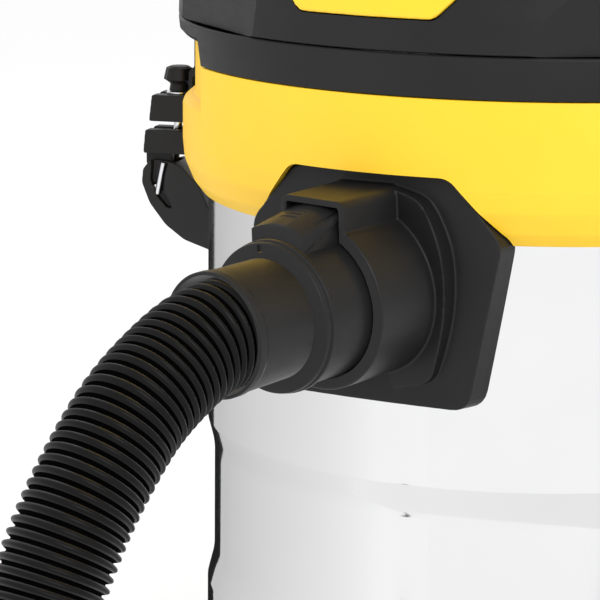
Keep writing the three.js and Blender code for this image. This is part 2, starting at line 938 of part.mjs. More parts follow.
function castor(name, x, y) {
  const cheek = (front) =>
    slab(
      [
        [-12, 55],
        [15, 55],
        [WHEEL_TRAIL + 8, 30],
        [WHEEL_TRAIL + 7, 19],
        [WHEEL_TRAIL - 7, 18],
      ],
      front,
      front + 3.4,
    );
  const fork = rod(16, 4, "z", [0, 0, 54.6])
    .add(rod(5, 20, "z", [0, 0, 64]))
    .add(cheek(-15.4))
    .add(cheek(12))
    .add(rod(3, 28, "y", [WHEEL_TRAIL, 0, WHEEL_RADIUS], 16));
  const tread = [
    [3.6, -10],
    [22, -10],
    [WHEEL_RADIUS, -7],
    [WHEEL_RADIUS, 7],
    [22, 10],
    [3.6, 10],
  ];
  const points = [...tread, tread[0]].map(([r, w]) => new THREE.Vector2(r, w));
  const wheel = new THREE.LatheGeometry(points, 24).translate(WHEEL_TRAIL, 0, WHEEL_RADIUS);
  const group = new THREE.Group();
  group.position.set(x, y, 0);
  group.rotation.z = Math.PI / 2;
  group.add(piece("castor_fork_" + name, fork, BLACK), piece("castor_wheel_" + name, solid(wheel), RUBBER));
  return group;
}

const vacuum = new THREE.Group();
vacuum.add(steelDrum(), drumCollar(), baseChassis());
vacuum.add(headBase(), headGasket(), headCover(), filterDoor(), filterCassette(), flatFilter());
vacuum.add(...motor(), ...floatValve(), ...deckControls(), ...carryHandle(), ...rearFittings());
vacuum.add(inletSocket(), inletDeflector(), connector(), suctionHose(), ...handGrip());
vacuum.add(latch(-1), latch(1));
for (const [name, x, y] of [
  ["front_left", -1, -1],
  ["front_right", 1, -1],
  ["rear_left", -1, 1],
  ["rear_right", 1, 1],
]) {
  vacuum.add(castor(name, x * CASTOR_XY, y * CASTOR_XY));
}

export default vacuum;
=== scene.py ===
"""Looks of a wet and dry shop vacuum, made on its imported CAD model.

The frame is in metres, +Z up, with the floor at z = 0 and the inlet facing -Y. Outlines and profiles are
written in millimetres and scaled as the mesh is made.
"""

import math

import bmesh
import bpy
from mathutils import Matrix, Vector


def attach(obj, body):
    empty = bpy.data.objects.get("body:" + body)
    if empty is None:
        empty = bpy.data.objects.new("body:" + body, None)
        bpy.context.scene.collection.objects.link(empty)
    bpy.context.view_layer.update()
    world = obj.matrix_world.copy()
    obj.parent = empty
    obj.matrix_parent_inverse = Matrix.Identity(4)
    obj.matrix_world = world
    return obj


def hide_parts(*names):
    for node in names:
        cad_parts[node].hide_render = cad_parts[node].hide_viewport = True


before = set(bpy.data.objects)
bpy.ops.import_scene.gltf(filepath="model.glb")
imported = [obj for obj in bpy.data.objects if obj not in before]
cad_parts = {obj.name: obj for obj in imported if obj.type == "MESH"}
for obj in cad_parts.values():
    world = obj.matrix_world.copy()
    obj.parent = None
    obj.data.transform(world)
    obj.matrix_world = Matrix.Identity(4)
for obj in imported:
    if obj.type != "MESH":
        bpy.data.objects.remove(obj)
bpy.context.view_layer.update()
MM = 0.001
TAU = 2 * math.pi

# Driving dimensions, in millimetres
DRUM_RADIUS = 149.3
WAIST_RADIUS = 146.2
RIM_HEIGHT = 400
COLLAR_RADIUS = 160.7
SEAM_HEIGHT = 418
HEAD_RADIUS = 162.5
DECK_HEIGHT = 500
CONTROL_X, CONTROL_Y = 78, -45  # the switch knob stands at +X and the cleaning button at -X
HANDLE_EAR, HANDLE_PIVOT = 63, 512
PORT_HEIGHT = 444
HOOK_HEIGHT = 440
HOOK_ANGLE, GLAND_ANGLE = math.radians(-36), math.radians(30)
PLATE_FACE = 154
PLATE_SHOULDER = 341.8
INLET_HEIGHT = 319
INLET_SKEW = math.radians(10.4)
INLET_DROP = math.radians(3.6)
LATCH_ANGLE = 75
RECESS_FLOOR = 155.2
RECESS_HALF_WIDTH = 94
PIVOT_R, PIVOT_Z = 179, 332
KNOB_R = 170.6
FORK_HALF_WIDTH = 9.5
CASTOR_XY = 108
WHEEL_RADIUS = 25
WHEEL_TRAIL = 18
HOSE_RADIUS = 22.5
RIB_PITCH = 4.62
CUFF_END = 95
GRIP_X, GRIP_Y, GRIP_Z = -160, -590, 26
FILLET_STEPS = 5
BIG = 400  # reaches past whatever is cut

# The hose's route, from the cuff to the hand grip
ROUTE = [
    (-12.7, -223.2, 314.6),
    (-16, -241.2, 313.1),
    (-18.6, -255, 310.4),
    (-21.5, -271, 303.1),
    (-25, -291, 290.1),
    (-28, -308, 272.7),
    (-31, -323, 252.5),
    (-34, -337, 226.3),
    (-36, -351, 194.2),
    (-39, -367, 146.2),
    (-42, -383, 112),
    (-46, -405, 81.8),
    (-51, -433, 56.8),
    (-57, -465, 38.2),
    (-64, -501, 26.7),
    (-70, -538, 22.8),
    (-71, -624, 22.8),
    (-38, -706, 22.8),
    (26, -768, 22.8),
    (110, -801, 22.8),
    (202, -798, 22.8),
    (286, -758, 22.8),
    (348, -688, 22.8),
    (379, -598, 22.8),
    (371, -502, 22.8),
    (325, -416, 22.8),
    (246, -352, 22.8),
    (150, -316, 22.8),
    (50, -319, 22.8),
    (-43, -356, 22.8),
    (-115, -422, 22.8),
    (-154, -512, 25),
    (GRIP_X, GRIP_Y + 24, GRIP_Z),
    (GRIP_X, GRIP_Y, GRIP_Z),
]

# The inlet's own axes: local -Y runs out along the connector.
INLET = (
    Matrix.Translation((0, -PLATE_FACE * MM, INLET_HEIGHT * MM))
    @ Matrix.Rotation(-INLET_SKEW, 4, "Z")
    @ Matrix.Rotation(INLET_DROP, 4, "X")
)
OUTWARDS = Matrix.Rotation(math.pi / 2, 4, "X")  # a lathe's height runs along -Y


# ---------- camera ----------

FOCAL_LENGTH = 205.6
CAMERA_AZIMUTH = math.radians(27)
CAMERA_DISTANCE, CAMERA_HEIGHT = 1.52, 0.5846
# In radians: how far the camera looks to the side of the machine's axis, and down, and how far it rolls
ASIDE, PITCH, ROLL = 0.0711, 0.1932, 0.0067


def make_camera():
    data = bpy.data.cameras.new("camera")
    data.lens = FOCAL_LENGTH
    data.sensor_width = 36
    data.clip_start = 0.05
    data.clip_end = 30
    camera = bpy.data.objects.new("camera", data)
    bpy.context.scene.collection.objects.link(camera)
    x = CAMERA_DISTANCE * math.sin(CAMERA_AZIMUTH)
    y = -CAMERA_DISTANCE * math.cos(CAMERA_AZIMUTH)
    heading = math.pi / 2 + CAMERA_AZIMUTH + ASIDE
    level = math.cos(PITCH)
    forward = Vector((math.cos(heading) * level, math.sin(heading) * level, -math.sin(PITCH)))
    turn = forward.to_track_quat("-Z", "Y").to_matrix().to_4x4() @ Matrix.Rotation(ROLL, 4, "Z")
    camera.matrix_world = Matrix.Translation((x, y, CAMERA_HEIGHT)) @ turn
    bpy.context.scene.camera = camera


make_camera()


# ---------- materials ----------


class Nodes:
    """A short way to write a material's node tree."""

    def __init__(self, name):
        self.material = bpy.data.materials.new(name)
        self.material.use_nodes = True
        self.tree = self.material.node_tree
        self.shader = self.tree.nodes["Principled BSDF"]
        self.place = self.add("ShaderNodeTexCoord").outputs["Object"]

    def add(self, kind, **values):
        node = self.tree.nodes.new(kind)
        for key, value in values.items():
            setattr(node, key, value)
        return node

    def link(self, a, b):
        self.tree.links.new(a, b)

    def noise(self, scale, detail=3, stretch=(1, 1, 1), roughness=0.55):
        mapping = self.add("ShaderNodeMapping")
        mapping.inputs["Scale"].default_value = stretch
        self.link(self.place, mapping.inputs["Vector"])
        node = self.add("ShaderNodeTexNoise")
        node.inputs["Scale"].default_value = scale
        node.inputs["Detail"].default_value = detail
        node.inputs["Roughness"].default_value = roughness
        self.link(mapping.outputs["Vector"], node.inputs["Vector"])
        return node.outputs["Fac"]

    def ranged(self, value, low, high, start=0.3, stop=0.7):
        node = self.add("ShaderNodeMapRange")
        node.inputs["From Min"].default_value = start
        node.inputs["From Max"].default_value = stop
        node.inputs["To Min"].default_value = low
        node.inputs["To Max"].default_value = high
        self.link(value, node.inputs["Value"])
        return node.outputs["Result"]

    def mixed(self, value, one, other):
        node = self.add("ShaderNodeMix", data_type="RGBA")
        node.inputs["A"].default_value = (*one, 1)
        node.inputs["B"].default_value = (*other, 1)
        self.link(value, node.inputs["Factor"])
        return node.outputs["Result"]

    def sum(self, a, b):
        node = self.add("ShaderNodeMath", operation="ADD")
        self.link(a, node.inputs[0])
        self.link(b, node.inputs[1])
        return node.outputs[0]

    def bump(self, height, distance):
        node = self.add("ShaderNodeBump")
        node.inputs["Strength"].default_value = 1
        node.inputs["Distance"].default_value = distance
        self.link(height, node.inputs["Height"])
        self.link(node.outputs["Normal"], self.shader.inputs["Normal"])


def moulded_plastic(name, color, tint, rough, grain=0.000012, ior=1.46):
    """Moulded plastic: a fine spark-eroded grain, cloudy gloss, scuffs and a slight drift in colour."""
    n = Nodes(name)
    cloud = n.noise(22, 4)
    n.link(n.mixed(n.ranged(cloud, 0, 1), color, tint), n.shader.inputs["Base Color"])
    scuffs = n.noise(90, 6, (1, 1, 3))
    smudges = n.noise(9, 2)
    rub = n.sum(n.ranged(scuffs, -0.04, 0.04), n.ranged(smudges, rough - 0.03, rough + 0.04))
    n.link(rub, n.shader.inputs["Roughness"])
    n.shader.inputs["IOR"].default_value = ior
    n.bump(n.noise(2600, 2), grain)
    return n.material


def brushed_metal(name, color, rough, stretch, bump=0.000004):
    """Rolled or turned metal: fine drawn lines, drawn out by stretch, and faint stains."""
    n = Nodes(name)
    n.shader.inputs["Metallic"].default_value = 1
    lines = n.noise(40, 8, stretch, 0.7)
    stains = n.noise(6, 3)
    tone = [channel * 0.93 for channel in color]
    n.link(n.mixed(n.ranged(stains, 0, 1), color, tone), n.shader.inputs["Base Color"])
    total = n.sum(n.ranged(lines, -0.035, 0.035), n.ranged(stains, rough - 0.03, rough + 0.05))
    n.link(total, n.shader.inputs["Roughness"])
    n.bump(lines, bump)
    return n.material


def soft_rubber(name, color, rough=0.8):
    """Dusty rubber: lighter and duller where the dust lies."""
    n = Nodes(name)
    dust = n.noise(70, 5)
    dusty = [channel * 1.5 + 0.006 for channel in color]
    n.link(n.mixed(n.ranged(dust, 0, 1, 0.45, 0.75), color, dusty), n.shader.inputs["Base Color"])
    n.link(n.ranged(dust, rough - 0.08, rough + 0.08), n.shader.inputs["Roughness"])
    n.bump(n.sum(n.noise(900, 3), n.noise(160, 3)), 0.00004)
    return n.material


def fibrous(name, color):
    """Filter paper, with its fibres lying one way."""
    n = Nodes(name)
    fibres = n.noise(500, 6, (1, 0.2, 1))
    grey = [channel * 0.8 for channel in color]
    n.link(n.mixed(n.ranged(fibres, 0, 1), color, grey), n.shader.inputs["Base Color"])
    n.shader.inputs["Roughness"].default_value = 0.9
    n.bump(fibres, 0.0001)
    return n.material


BLACK = moulded_plastic(
    "black_plastic", (0.0095, 0.0095, 0.01), (0.012, 0.012, 0.0124), 0.4, ior=1.31
)
SMOOTH_BLACK = moulded_plastic(
    "smooth_black_plastic", (0.010, 0.010, 0.0105), (0.013, 0.013, 0.0135), 0.34, 0.000007, ior=1.34
)
HOSE_BLACK = moulded_plastic(
    "hose_plastic", (0.0032, 0.0032, 0.0034), (0.0052, 0.0052, 0.0055), 0.34, 0.000015, ior=1.21
)
# Painted shade: a near-black material that barely reflects, darker than the hose's own plastic, for the
# faces in the hose's grooves
PAINTED_GROOVE_SHADE = moulded_plastic(
    "hose_groove_painted_shade", (0.001, 0.001, 0.0011), (0.0016, 0.0016, 0.0017), 0.7, 0.000015, ior=1.03
)
YELLOW = moulded_plastic(
    "yellow_plastic", (0.96, 0.595, 0.024), (0.94, 0.57, 0.02), 0.42, 0.000006, ior=1.36
)
NATURAL = moulded_plastic("natural_plastic", (0.78, 0.77, 0.71), (0.72, 0.71, 0.64), 0.35)
STAINLESS = brushed_metal("stainless", (0.80, 0.80, 0.806), 0.075, (0.12, 0.12, 26), 0.0000002)
BRIGHT_STEEL = brushed_metal("bright_steel", (0.80, 0.81, 0.83), 0.16, (3, 3, 3))
COPPER = brushed_metal("motor_core", (0.62, 0.32, 0.18), 0.38, (0.2, 0.2, 12), 0.00002)
FAN_METAL = brushed_metal("fan_metal", (0.82, 0.83, 0.84), 0.34, (1, 1, 12))
RUBBER = soft_rubber("dark_rubber", (0.028, 0.028, 0.029))
TYRE = soft_rubber("tyre_rubber", (0.075, 0.075, 0.078), 0.62)
PAPER = fibrous("filter_paper", (0.82, 0.76, 0.62))


# ---------- mesh tools ----------


def new_object(name, bm, material, transform=None, sharp=38):
    """An object made of a bmesh, smooth where its faces meet at less than sharp degrees."""
    if transform is not None:
        bm.transform(transform)
    bmesh.ops.recalc_face_normals(bm, faces=bm.faces)
    mesh = bpy.data.meshes.new(name)
    bm.to_mesh(mesh)
    bm.free()
    mesh.shade_smooth()
    mesh.set_sharp_from_angle(angle=math.radians(sharp))
    mesh.materials.append(material)
    obj = bpy.data.objects.new(name, mesh)
    bpy.context.scene.collection.objects.link(obj)
    return obj


def rounded(points, closed):
    """A polyline's points, with each third value turned into a fillet of that radius."""
    result = []
    count = len(points)
    for i, point in enumerate(points):
        here = Vector(point[:2])
        radius = point[2] if len(point) > 2 else 0
        if radius == 0 or (not closed and i in (0, count - 1)):
            result.append(here)
            continue
        to_last = Vector(points[i - 1][:2]) - here
        to_next = Vector(points[(i + 1) % count][:2]) - here
        half = to_last.angle(to_next) / 2
        reach = min(radius / math.tan(half), to_last.length * 0.49, to_next.length * 0.49)
        start = here + to_last.normalized() * reach
        end = here + to_next.normalized() * reach
        for k in range(FILLET_STEPS + 1):
            t = k / FILLET_STEPS
            result.append(start * (1 - t) ** 2 + here * 2 * t * (1 - t) + end * t * t)
    return [p for i, p in enumerate(result) if i == 0 or (p - result[i - 1]).length > 1e-3]


def lathe(profile, segments=160, shape=None):
    """A bmesh turned about Z. A profile off the axis is closed on itself. shape moves each point."""
    bm = bmesh.new()
    closed = profile[0][0] > 0
    points = rounded(profile, closed)
    rings = []
    for r, z in points:
        if r < 1e-6:
            rings.append([bm.verts.new((0, 0, z * MM))])
            continue
        ring = []
        for k in range(segments):
            angle = TAU * k / segments
            radius, height = shape(angle, r, z) if shape else (r, z)
            place = (radius * math.cos(angle), radius * math.sin(angle), height)
            ring.append(bm.verts.new(Vector(place) * MM))
        rings.append(ring)
    pairs = list(zip(rings, rings[1:]))
    if closed:
        pairs.append((rings[-1], rings[0]))
    for a, b in pairs:
        for k in range(segments):
            quad = [a[k % len(a)], a[(k + 1) % len(a)], b[(k + 1) % len(b)], b[k % len(b)]]
            corners = list(dict.fromkeys(quad))
            if len(corners) > 2:
                bm.faces.new(corners)
    return bm


def prism(points, low, high, along="Y"):
    """A bmesh of an outline in X and Z (or in X and Y along "Z"), extruded from low to high."""
    bm = bmesh.new()
    flat = rounded(points, True)

    def at(p, depth):
        if along == "Y":
            return (p.x * MM, depth * MM, p.y * MM)
        return (p.x * MM, p.y * MM, depth * MM)

    ends = [[bm.verts.new(at(p, depth)) for p in flat] for depth in (low, high)]
    count = len(flat)
    bm.faces.new(ends[0])
    bm.faces.new(list(reversed(ends[1])))
    for i in range(count):
        j = (i + 1) % count
        bm.faces.new((ends[0][i], ends[0][j], ends[1][j], ends[1][i]))
    return bm


def taken(obj):
    """The bmesh of an object, which is removed."""
    bm = bmesh.new()
    bm.from_mesh(obj.data)
    bpy.data.objects.remove(obj, do_unlink=True)
    return bm


def block(x0, x1, y0, y1, z0, z1):
    return prism([(x0, z0), (x1, z0), (x1, z1), (x0, z1)], y0, y1)


def drilled(radius, length, along, centre, segments=64):
    """A plain cylinder along X, Y or Z, for joining and cutting."""
    bm = bmesh.new()
    bmesh.ops.create_cone(
        bm, cap_ends=True, segments=segments, radius1=radius * MM, radius2=radius * MM, depth=length * MM
    )
    if along == "X":
        bm.transform(Matrix.Rotation(math.pi / 2, 4, "Y"))
    if along == "Y":
        bm.transform(Matrix.Rotation(math.pi / 2, 4, "X"))
    bm.transform(Matrix.Translation(Vector(centre) * MM))
    return bm


def spline(points, per_span=24):
    """A centripetal Catmull-Rom curve through the points."""
    at = [Vector(p) for p in points]
    result = []
    for i in range(len(at) - 1):
        p1, p2 = at[i], at[i + 1]
        p0 = at[i - 1] if i else p1 * 2 - p2
        p3 = at[i + 2] if i + 2 < len(at) else p2 * 2 - p1
        d0, d1, d2 = ((b - a).length ** 0.5 for a, b in ((p0, p1), (p1, p2), (p2, p3)))
        t1 = ((p1 - p0) / d0 - (p2 - p0) / (d0 + d1) + (p2 - p1) / d1) * d1
        t2 = ((p2 - p1) / d1 - (p3 - p1) / (d1 + d2) + (p3 - p2) / d2) * d1
        for k in range(per_span):
            t = k / per_span
            a = p1 * (2 * t**3 - 3 * t**2 + 1) + t1 * (t**3 - 2 * t**2 + t)
            result.append(a + p2 * (3 * t**2 - 2 * t**3) + t2 * (t**3 - t**2))
    result.append(at[-1])
    return result


def evenly(points, step):
    """The same line as points a fixed distance apart, ending on its last point, and its length."""
    lengths = [0]
    for a, b in zip(points, points[1:]):
        lengths.append(lengths[-1] + (b - a).length)
    count = max(2, round(lengths[-1] / step))
    result = []
    i = 0
    for k in range(count + 1):
        want = lengths[-1] * k / count
        while i < len(points) - 2 and lengths[i + 1] < want:
            i += 1
        t = (want - lengths[i]) / max(lengths[i + 1] - lengths[i], 1e-9)
        result.append(points[i].lerp(points[i + 1], min(t, 1)))
    return result, lengths[-1]


def tube(points, section, first_up=Vector((0, 0, 1))):
    """A bmesh swept along the points. section(i) gives the ring there as (side, up) pairs."""
    bm = bmesh.new()
    rings = []
    up = first_up
    for i, p in enumerate(points):
        ahead = points[min(i + 1, len(points) - 1)] - points[max(i - 1, 0)]
        ahead.normalize()
        side = ahead.cross(up).normalized()
        up = side.cross(ahead).normalized()
        rings.append([bm.verts.new((p + side * a + up * b) * MM) for a, b in section(i)])
    size = len(rings[0])
    for a, b in zip(rings, rings[1:]):
        for k in range(size):
            bm.faces.new((a[k], a[(k + 1) % size], b[(k + 1) % size], b[k]))
    bm.faces.new(list(reversed(rings[0])))
    bm.faces.new(rings[-1])
    return bm


def circle(radius, sides):
    angles = [TAU * k / sides for k in range(sides)]
    return [(radius * math.cos(a), radius * math.sin(a)) for a in angles]


def combined(
    name, base, material, join=(), cut=(), keep=(), voxel=None, soften=4, transform=None, sharp=38
):
    """A piece made of one bmesh, with others joined on and cut out, and only what lies in keep.

    A voxel size, in millimetres, gives it moulded fillets, and soften says how round they are.
    """
    obj = new_object(name, base, material, sharp=sharp)
    helpers = []
    for operation, shapes in (("UNION", join), ("DIFFERENCE", cut), ("INTERSECT", keep)):
        for shape in shapes:
            helper = new_object("helper", shape, material)
            helpers.append(helper)
            step = obj.modifiers.new("step", "BOOLEAN")
            step.operation = operation
            step.solver = "MANIFOLD"
            step.object = helper
    if voxel:
        remesh = obj.modifiers.new("voxels", "REMESH")
        remesh.mode = "VOXEL"
        remesh.voxel_size = voxel * MM
        smooth = obj.modifiers.new("soften", "SMOOTH")
        smooth.factor = 0.5
        smooth.iterations = soften
    graph = bpy.context.evaluated_depsgraph_get()
    baked = bpy.data.meshes.new_from_object(obj.evaluated_get(graph))
    obj.modifiers.clear()
    obj.data = baked
    if transform is not None:
        baked.transform(transform)
    baked.shade_smooth()
    if not voxel:
        baked.set_sharp_from_angle(angle=math.radians(sharp))
    baked.materials.clear()
    baked.materials.append(material)
    for helper in helpers:
        bpy.data.objects.remove(helper, do_unlink=True)
    return obj


def belongs(obj, body, slot, *nodes):
    """Puts a piece on its body and hides the CAD nodes that it stands for; the material slot is not used.
    """
    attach(obj, body)
    if nodes:
        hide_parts(*nodes)


def mirrored(half):
    """A whole outline made of its half at +X."""
    flipped = [(-p[0], *p[1:]) for p in reversed(half)]
    return [*half, *flipped]


# ---------- hose ----------

# One rib of the hose, as depths below its ridge at equal steps: a round ridge and a narrow groove
RIB = (2.4, 1.4, 0.55, 0.1, 0, 0.1, 0.55, 1.4, 2.4, 2.6)
# The rib steps whose faces take the painted shade of the grooves
PAINTED_SHADE_STEPS = (0, 7, 8, 9)


def hose_piece():
    """The ribbed hose, with its path and its length in metres."""
    centre, length = evenly(spline(ROUTE), RIB_PITCH / len(RIB))
    spans = len(centre) - 1
    sides = 56
    bm = tube(centre, lambda i: circle(HOSE_RADIUS - RIB[i % len(RIB)], sides))
    hose = new_object("ribbed_hose", bm, HOSE_BLACK, sharp=180)
    # The groove faces take the second material, which paints shade into the grooves
    hose.data.materials.append(PAINTED_GROOVE_SHADE)
    for k, face in enumerate(hose.data.polygons[: spans * sides]):
        step = (k // sides) % len(RIB)
        face.material_index = int(step in PAINTED_SHADE_STEPS)
    belongs(hose, "machine", "hose_plastic", "suction_hose")
    path = [p * MM for p in evenly(centre, 25)[0]]
    return hose, path, length * MM


HOSE, HOSE_PATH, HOSE_LENGTH = hose_piece()

NOTCH = math.radians(-7)  # where the swivel flange is notched, about the inlet's axis


def connector():
    sleeve = [
        (19.5, -12, 0.6), (29.2, -12, 0.8), (30, -9, 1), (30, 54.6, 0.3), (29.6, 55.7, 0.3),
        (22.5, 55.7, 0.3), (22.5, 68, 0.3), (19.5, 68, 0.3),
    ]
    obj = combined("connector_sleeve", lathe(sleeve, 128), BLACK, transform=INLET @ OUTWARDS)
    belongs(obj, "machine", "black_plastic", "connector_body")
    return obj


def swivel():
    """The flange between the connector and the cuff, notched at the top."""
    flange = [
        (23, 56, 0.2), (31.4, 56, 0.5), (31.4, 58.3, 0.6), (30.1, 58.9, 0.3), (30.1, 59.3, 0.3),
        (31.0, 60.0, 0.5), (30.6, 61.9, 0.7), (23, 62.2, 0.2),
    ]
    notch = prism([(-1.3, 27), (1.3, 27), (1.3, 30), (-1.3, 30)], 60.4, 64, "Z")
    notch.transform(Matrix.Rotation(-NOTCH, 4, "Z"))
    turn = INLET @ OUTWARDS
    obj = combined("swivel_flange", lathe(flange, 128), BLACK, cut=[notch], transform=turn)
    belongs(obj, "machine", "black_plastic", "swivel_ring")
    return obj


def hose_cuff():
    collar = [
        (23, 62.4, 0.2), (24.7, 62.4, 0.4), (25.1, 89.5, 0.8), (25.7, 91.0, 0.6),
        (25.7, CUFF_END, 0.8), (24.2, CUFF_END, 0.5), (23.3, 80, 0.5),
    ]
    obj = new_object("hose_collar", lathe(collar, 128), BLACK, INLET @ OUTWARDS)
    belongs(obj, "machine", "black_plastic", "hose_cuff")
    return obj


def release_key():
    """The key that frees the connector: a wedge with a domed, sloping top and grip lines in it."""
    wedge = [(-55.6, 26.2), (-55.6, 36.7, 2.6), (-34, 41), (-26, 41), (-26, 26.2)]
    key = prism(wedge, -13.5, 13.5)
    key.transform(Matrix.Rotation(math.pi / 2, 4, "Z"))
    slope = Matrix.Translation((0, -0.045, 0.0389)) @ Matrix.Rotation(math.radians(10.4), 4, "X")
    dome = drilled(34, 160, "Y", (0, 0, -34), 256)
    marks = [block(x - 0.45, x + 0.45, -1, 30, -3.2, 6) for x in (-11.4, 11.4)]
    for k in range(3):
        arch = [(-7 + k, 0), (-3, 1.3), (3, 1.3), (7 - k, 0), (3, 0.2), (-3, 0.2)]
        marks.append(prism([(x - 1, y + 3.2 * k - 1.5) for x, y in arch], -1.3, 4, "Z"))
    for shape in (dome, *marks):
        shape.transform(slope)
    obj = combined(
        "release_key", key, BLACK, cut=marks, keep=[dome], voxel=0.26, soften=3, transform=INLET
    )
    belongs(obj, "release", "black_plastic", "release_button")
    return obj


CONNECTOR, SWIVEL, CUFF, RELEASE = connector(), swivel(), hose_cuff(), release_key()


GRIP = Matrix.Translation(Vector((GRIP_X, GRIP_Y, GRIP_Z)) * MM) @ OUTWARDS


def grip_cuff():
    collar = [
        (23.4, -18, 0.5), (25.7, -18, 1), (25.7, 24, 2), (24.2, 30, 1), (20.4, 30, 0.3),
        (20.4, 1.8, 0.3), (23.4, 1.8, 0.3),
    ]
    obj = new_object("grip_collar", lathe(collar, 96), BLACK, GRIP)
    belongs(obj, "machine", "black_plastic", "grip_cuff")
    return obj


def air_ring():
    """The sliding ring that lets in air, fluted for the fingers."""
    ring = lathe([(20.5, 34, 0.3), (23.6, 35, 0.8), (23.6, 51, 0.8), (20.5, 52, 0.3)], 96)
    flutes = [drilled(1.1, 30, "Z", (x, y, 43), 16) for x, y in circle(24.6, 24)]
    obj = combined("air_ring", ring, SMOOTH_BLACK, cut=flutes, transform=GRIP)
    belongs(obj, "slider", "black_plastic", "air_slider")
    return obj


def hand_tube():
    """The bent hand tube, with ripples for the fingers and a lip at its open end."""
    bends = [(0, -2.2), (0, -34), (0, -62), (-2, -88), (-7, -116), (-15, -144)]
    path = evenly(spline([(GRIP_X + x, GRIP_Y + y, GRIP_Z) for x, y in bends]), 2)[0]
    last = len(path) - 1

    def outer(i):
        swell = 0.35 * math.sin(TAU * i * 2 / 9) if 45 < i < last - 14 else 0
        lip = 0.6 if i > last - 4 else 0
        return circle(19.4 + swell + lip, 72)

    first, end = path[0] + Vector((0, 2, 0)), path[-1] + (path[-1] - path[-2])
    bore = tube([first, *path, end], lambda i: circle(16.6, 48))
    obj = combined("hand_tube", tube(path, outer), BLACK, cut=[bore])
    belongs(obj, "machine", "black_plastic", "hand_grip")
    return obj


GRIP_CUFF, AIR_RING, HAND_TUBE = grip_cuff(), air_ring(), hand_tube()

# The parts close to the drum stay out of its reflections, which cards make below.
for piece in (HOSE, CONNECTOR, SWIVEL, CUFF, RELEASE):
    piece.visible_glossy = False


# ---------- drum, collar and base ----------


def drum():
    shell = lathe(
        [
            (0, 78), (129, 78, 3), (143.4, 83, 8), (DRUM_RADIUS, 98, 10), (DRUM_RADIUS, 161.5, 5),
            (WAIST_RADIUS, 173.5, 34), (WAIST_RADIUS, 224.5, 34), (DRUM_RADIUS, 236.5, 5),
            (DRUM_RADIUS, 391.6, 1), (152.6, 391.6, 0.6), (152.6, 395.4, 1), (148.1, 395.4, 0.4),
            (148.1, 236.5, 5), (WAIST_RADIUS - 1.2, 224.5, 34), (WAIST_RADIUS - 1.2, 173.5, 34),
            (148.1, 161.5, 5), (148.1, 98.4, 10), (142.4, 84.4, 8), (128.6, 79.2, 3), (0, 79.2),
        ],
        256,
    )
    belongs(new_object("drum_shell", shell, STAINLESS), "machine", "stainless", "steel_drum")
    sunk = 0.05
    for name, radius, low, high in (
        ("weld_low", DRUM_RADIUS, 100, 160),
        ("weld_high", DRUM_RADIUS, 238, 340),
        ("weld_middle", WAIST_RADIUS, 172, 228),
    ):
        line = [Vector((0, radius - sunk, z)) for z in range(low, high, 4)]
        bead = tube(line, lambda i: circle(0.9, 12))
        belongs(new_object(name, bead, STAINLESS), "machine", "stainless")


# Half outline of the inlet plate, each corner with its fillet
PLATE = [(36.8, 367.6, 9), (59.2, PLATE_SHOULDER, 10), (44.7, 271.8, 9)]


def plate_outline(wide, high):
    """The inlet plate's outline, scaled about the inlet."""
    return mirrored([(x * wide, INLET_HEIGHT + (z - INLET_HEIGHT) * high, r) for x, z, r in PLATE])


def latch_turn(side):
    """Turns +X to where a latch stands: side is -1 for the left one and 1 for the right one."""
    return Matrix.Rotation(math.radians(side * LATCH_ANGLE - 90), 4, "Z")


def arc(profile, half_width, side):
    """A turned body kept only where it passes behind a latch."""
    reach = [(100, -half_width), (220, -half_width), (220, half_width), (100, half_width)]
    behind = prism(reach, 300, 460, "Z")
    behind.transform(latch_turn(side))
    return taken(combined("arc", lathe(profile, 256), BLACK, keep=[behind]))


def collar():
    ring = lathe(
        [
            (150.4, 341, 0.3), (151.8, 339.9, 0.8), (156.2, 345.6, 8), (159.9, 354.5, 9),
            (COLLAR_RADIUS, 363, 6), (COLLAR_RADIUS, RIM_HEIGHT, 0.8), (150.4, RIM_HEIGHT, 0.3),
            (150.4, 396.2), (157, 396.2), (157, 363), (153, 350), (150.4, 345.5),
        ],
        256,
    )
    cuts = [prism(plate_outline(1.012, 1.01), -BIG, 0)]
    pads = []
    for side in (-1, 1):
        backing = [(153, 379), (158, 379), (158, RIM_HEIGHT), (153, RIM_HEIGHT)]
        pads.append(arc(backing, RECESS_HALF_WIDTH + 3, side))
        tongue = [(152.8, 399), (RECESS_FLOOR, 399), (RECESS_FLOOR, 407.6), (152.8, 407.6)]
        pads.append(arc(tongue, RECESS_HALF_WIDTH, side))
        scoop = [
            (RECESS_FLOOR, 415), (RECESS_FLOOR, 383.4, 1), (157.2, 382.6, 2), (160.2, 380, 2),
            (160.9, 377.6), (175, 378), (175, 415),
        ]
        cuts.append(arc(scoop, RECESS_HALF_WIDTH, side))
    obj = combined("collar_shell", ring, YELLOW, join=pads, cut=cuts, sharp=30)
    belongs(obj, "machine", "yellow_plastic", "drum_collar")


def base():
    dish = lathe(
        [
            (0, 72), (122, 72, 1), (124, 60, 1.5), (134, 60, 4), (152, 72, 8), (155, 90, 3),
            (155, 104, 1.5), (151, 104, 0.8), (150.4, 98, 8), (143.6, 82.4, 6), (130, 77.2, 3),
            (0, 77.2),
        ],
        192,
    )
    lobes = []
    well = [(0, 77.2), (130, 77.2, 3), (143.8, 82.6, 6), (150.2, 98), (150.2, 130), (0, 130)]
    cuts = [lathe(well, 192)]
    for x in (-CASTOR_XY, CASTOR_XY):
        for y in (-CASTOR_XY, CASTOR_XY):
            lobe = lathe([(0, 58), (23, 58, 2), (26, 62, 2), (26, 80, 3), (23, 82, 2), (0, 82)], 64)
            lobe.transform(Matrix.Translation((x * MM, y * MM, 0)))
            lobes.append(lobe)
            cuts.append(drilled(5.6, 30, "Z", (x, y, 62), 32))
    obj = combined("base_dish", dish, BLACK, join=lobes, cut=cuts, voxel=1.0, soften=3)
    belongs(obj, "machine", "black_plastic", "base_chassis")


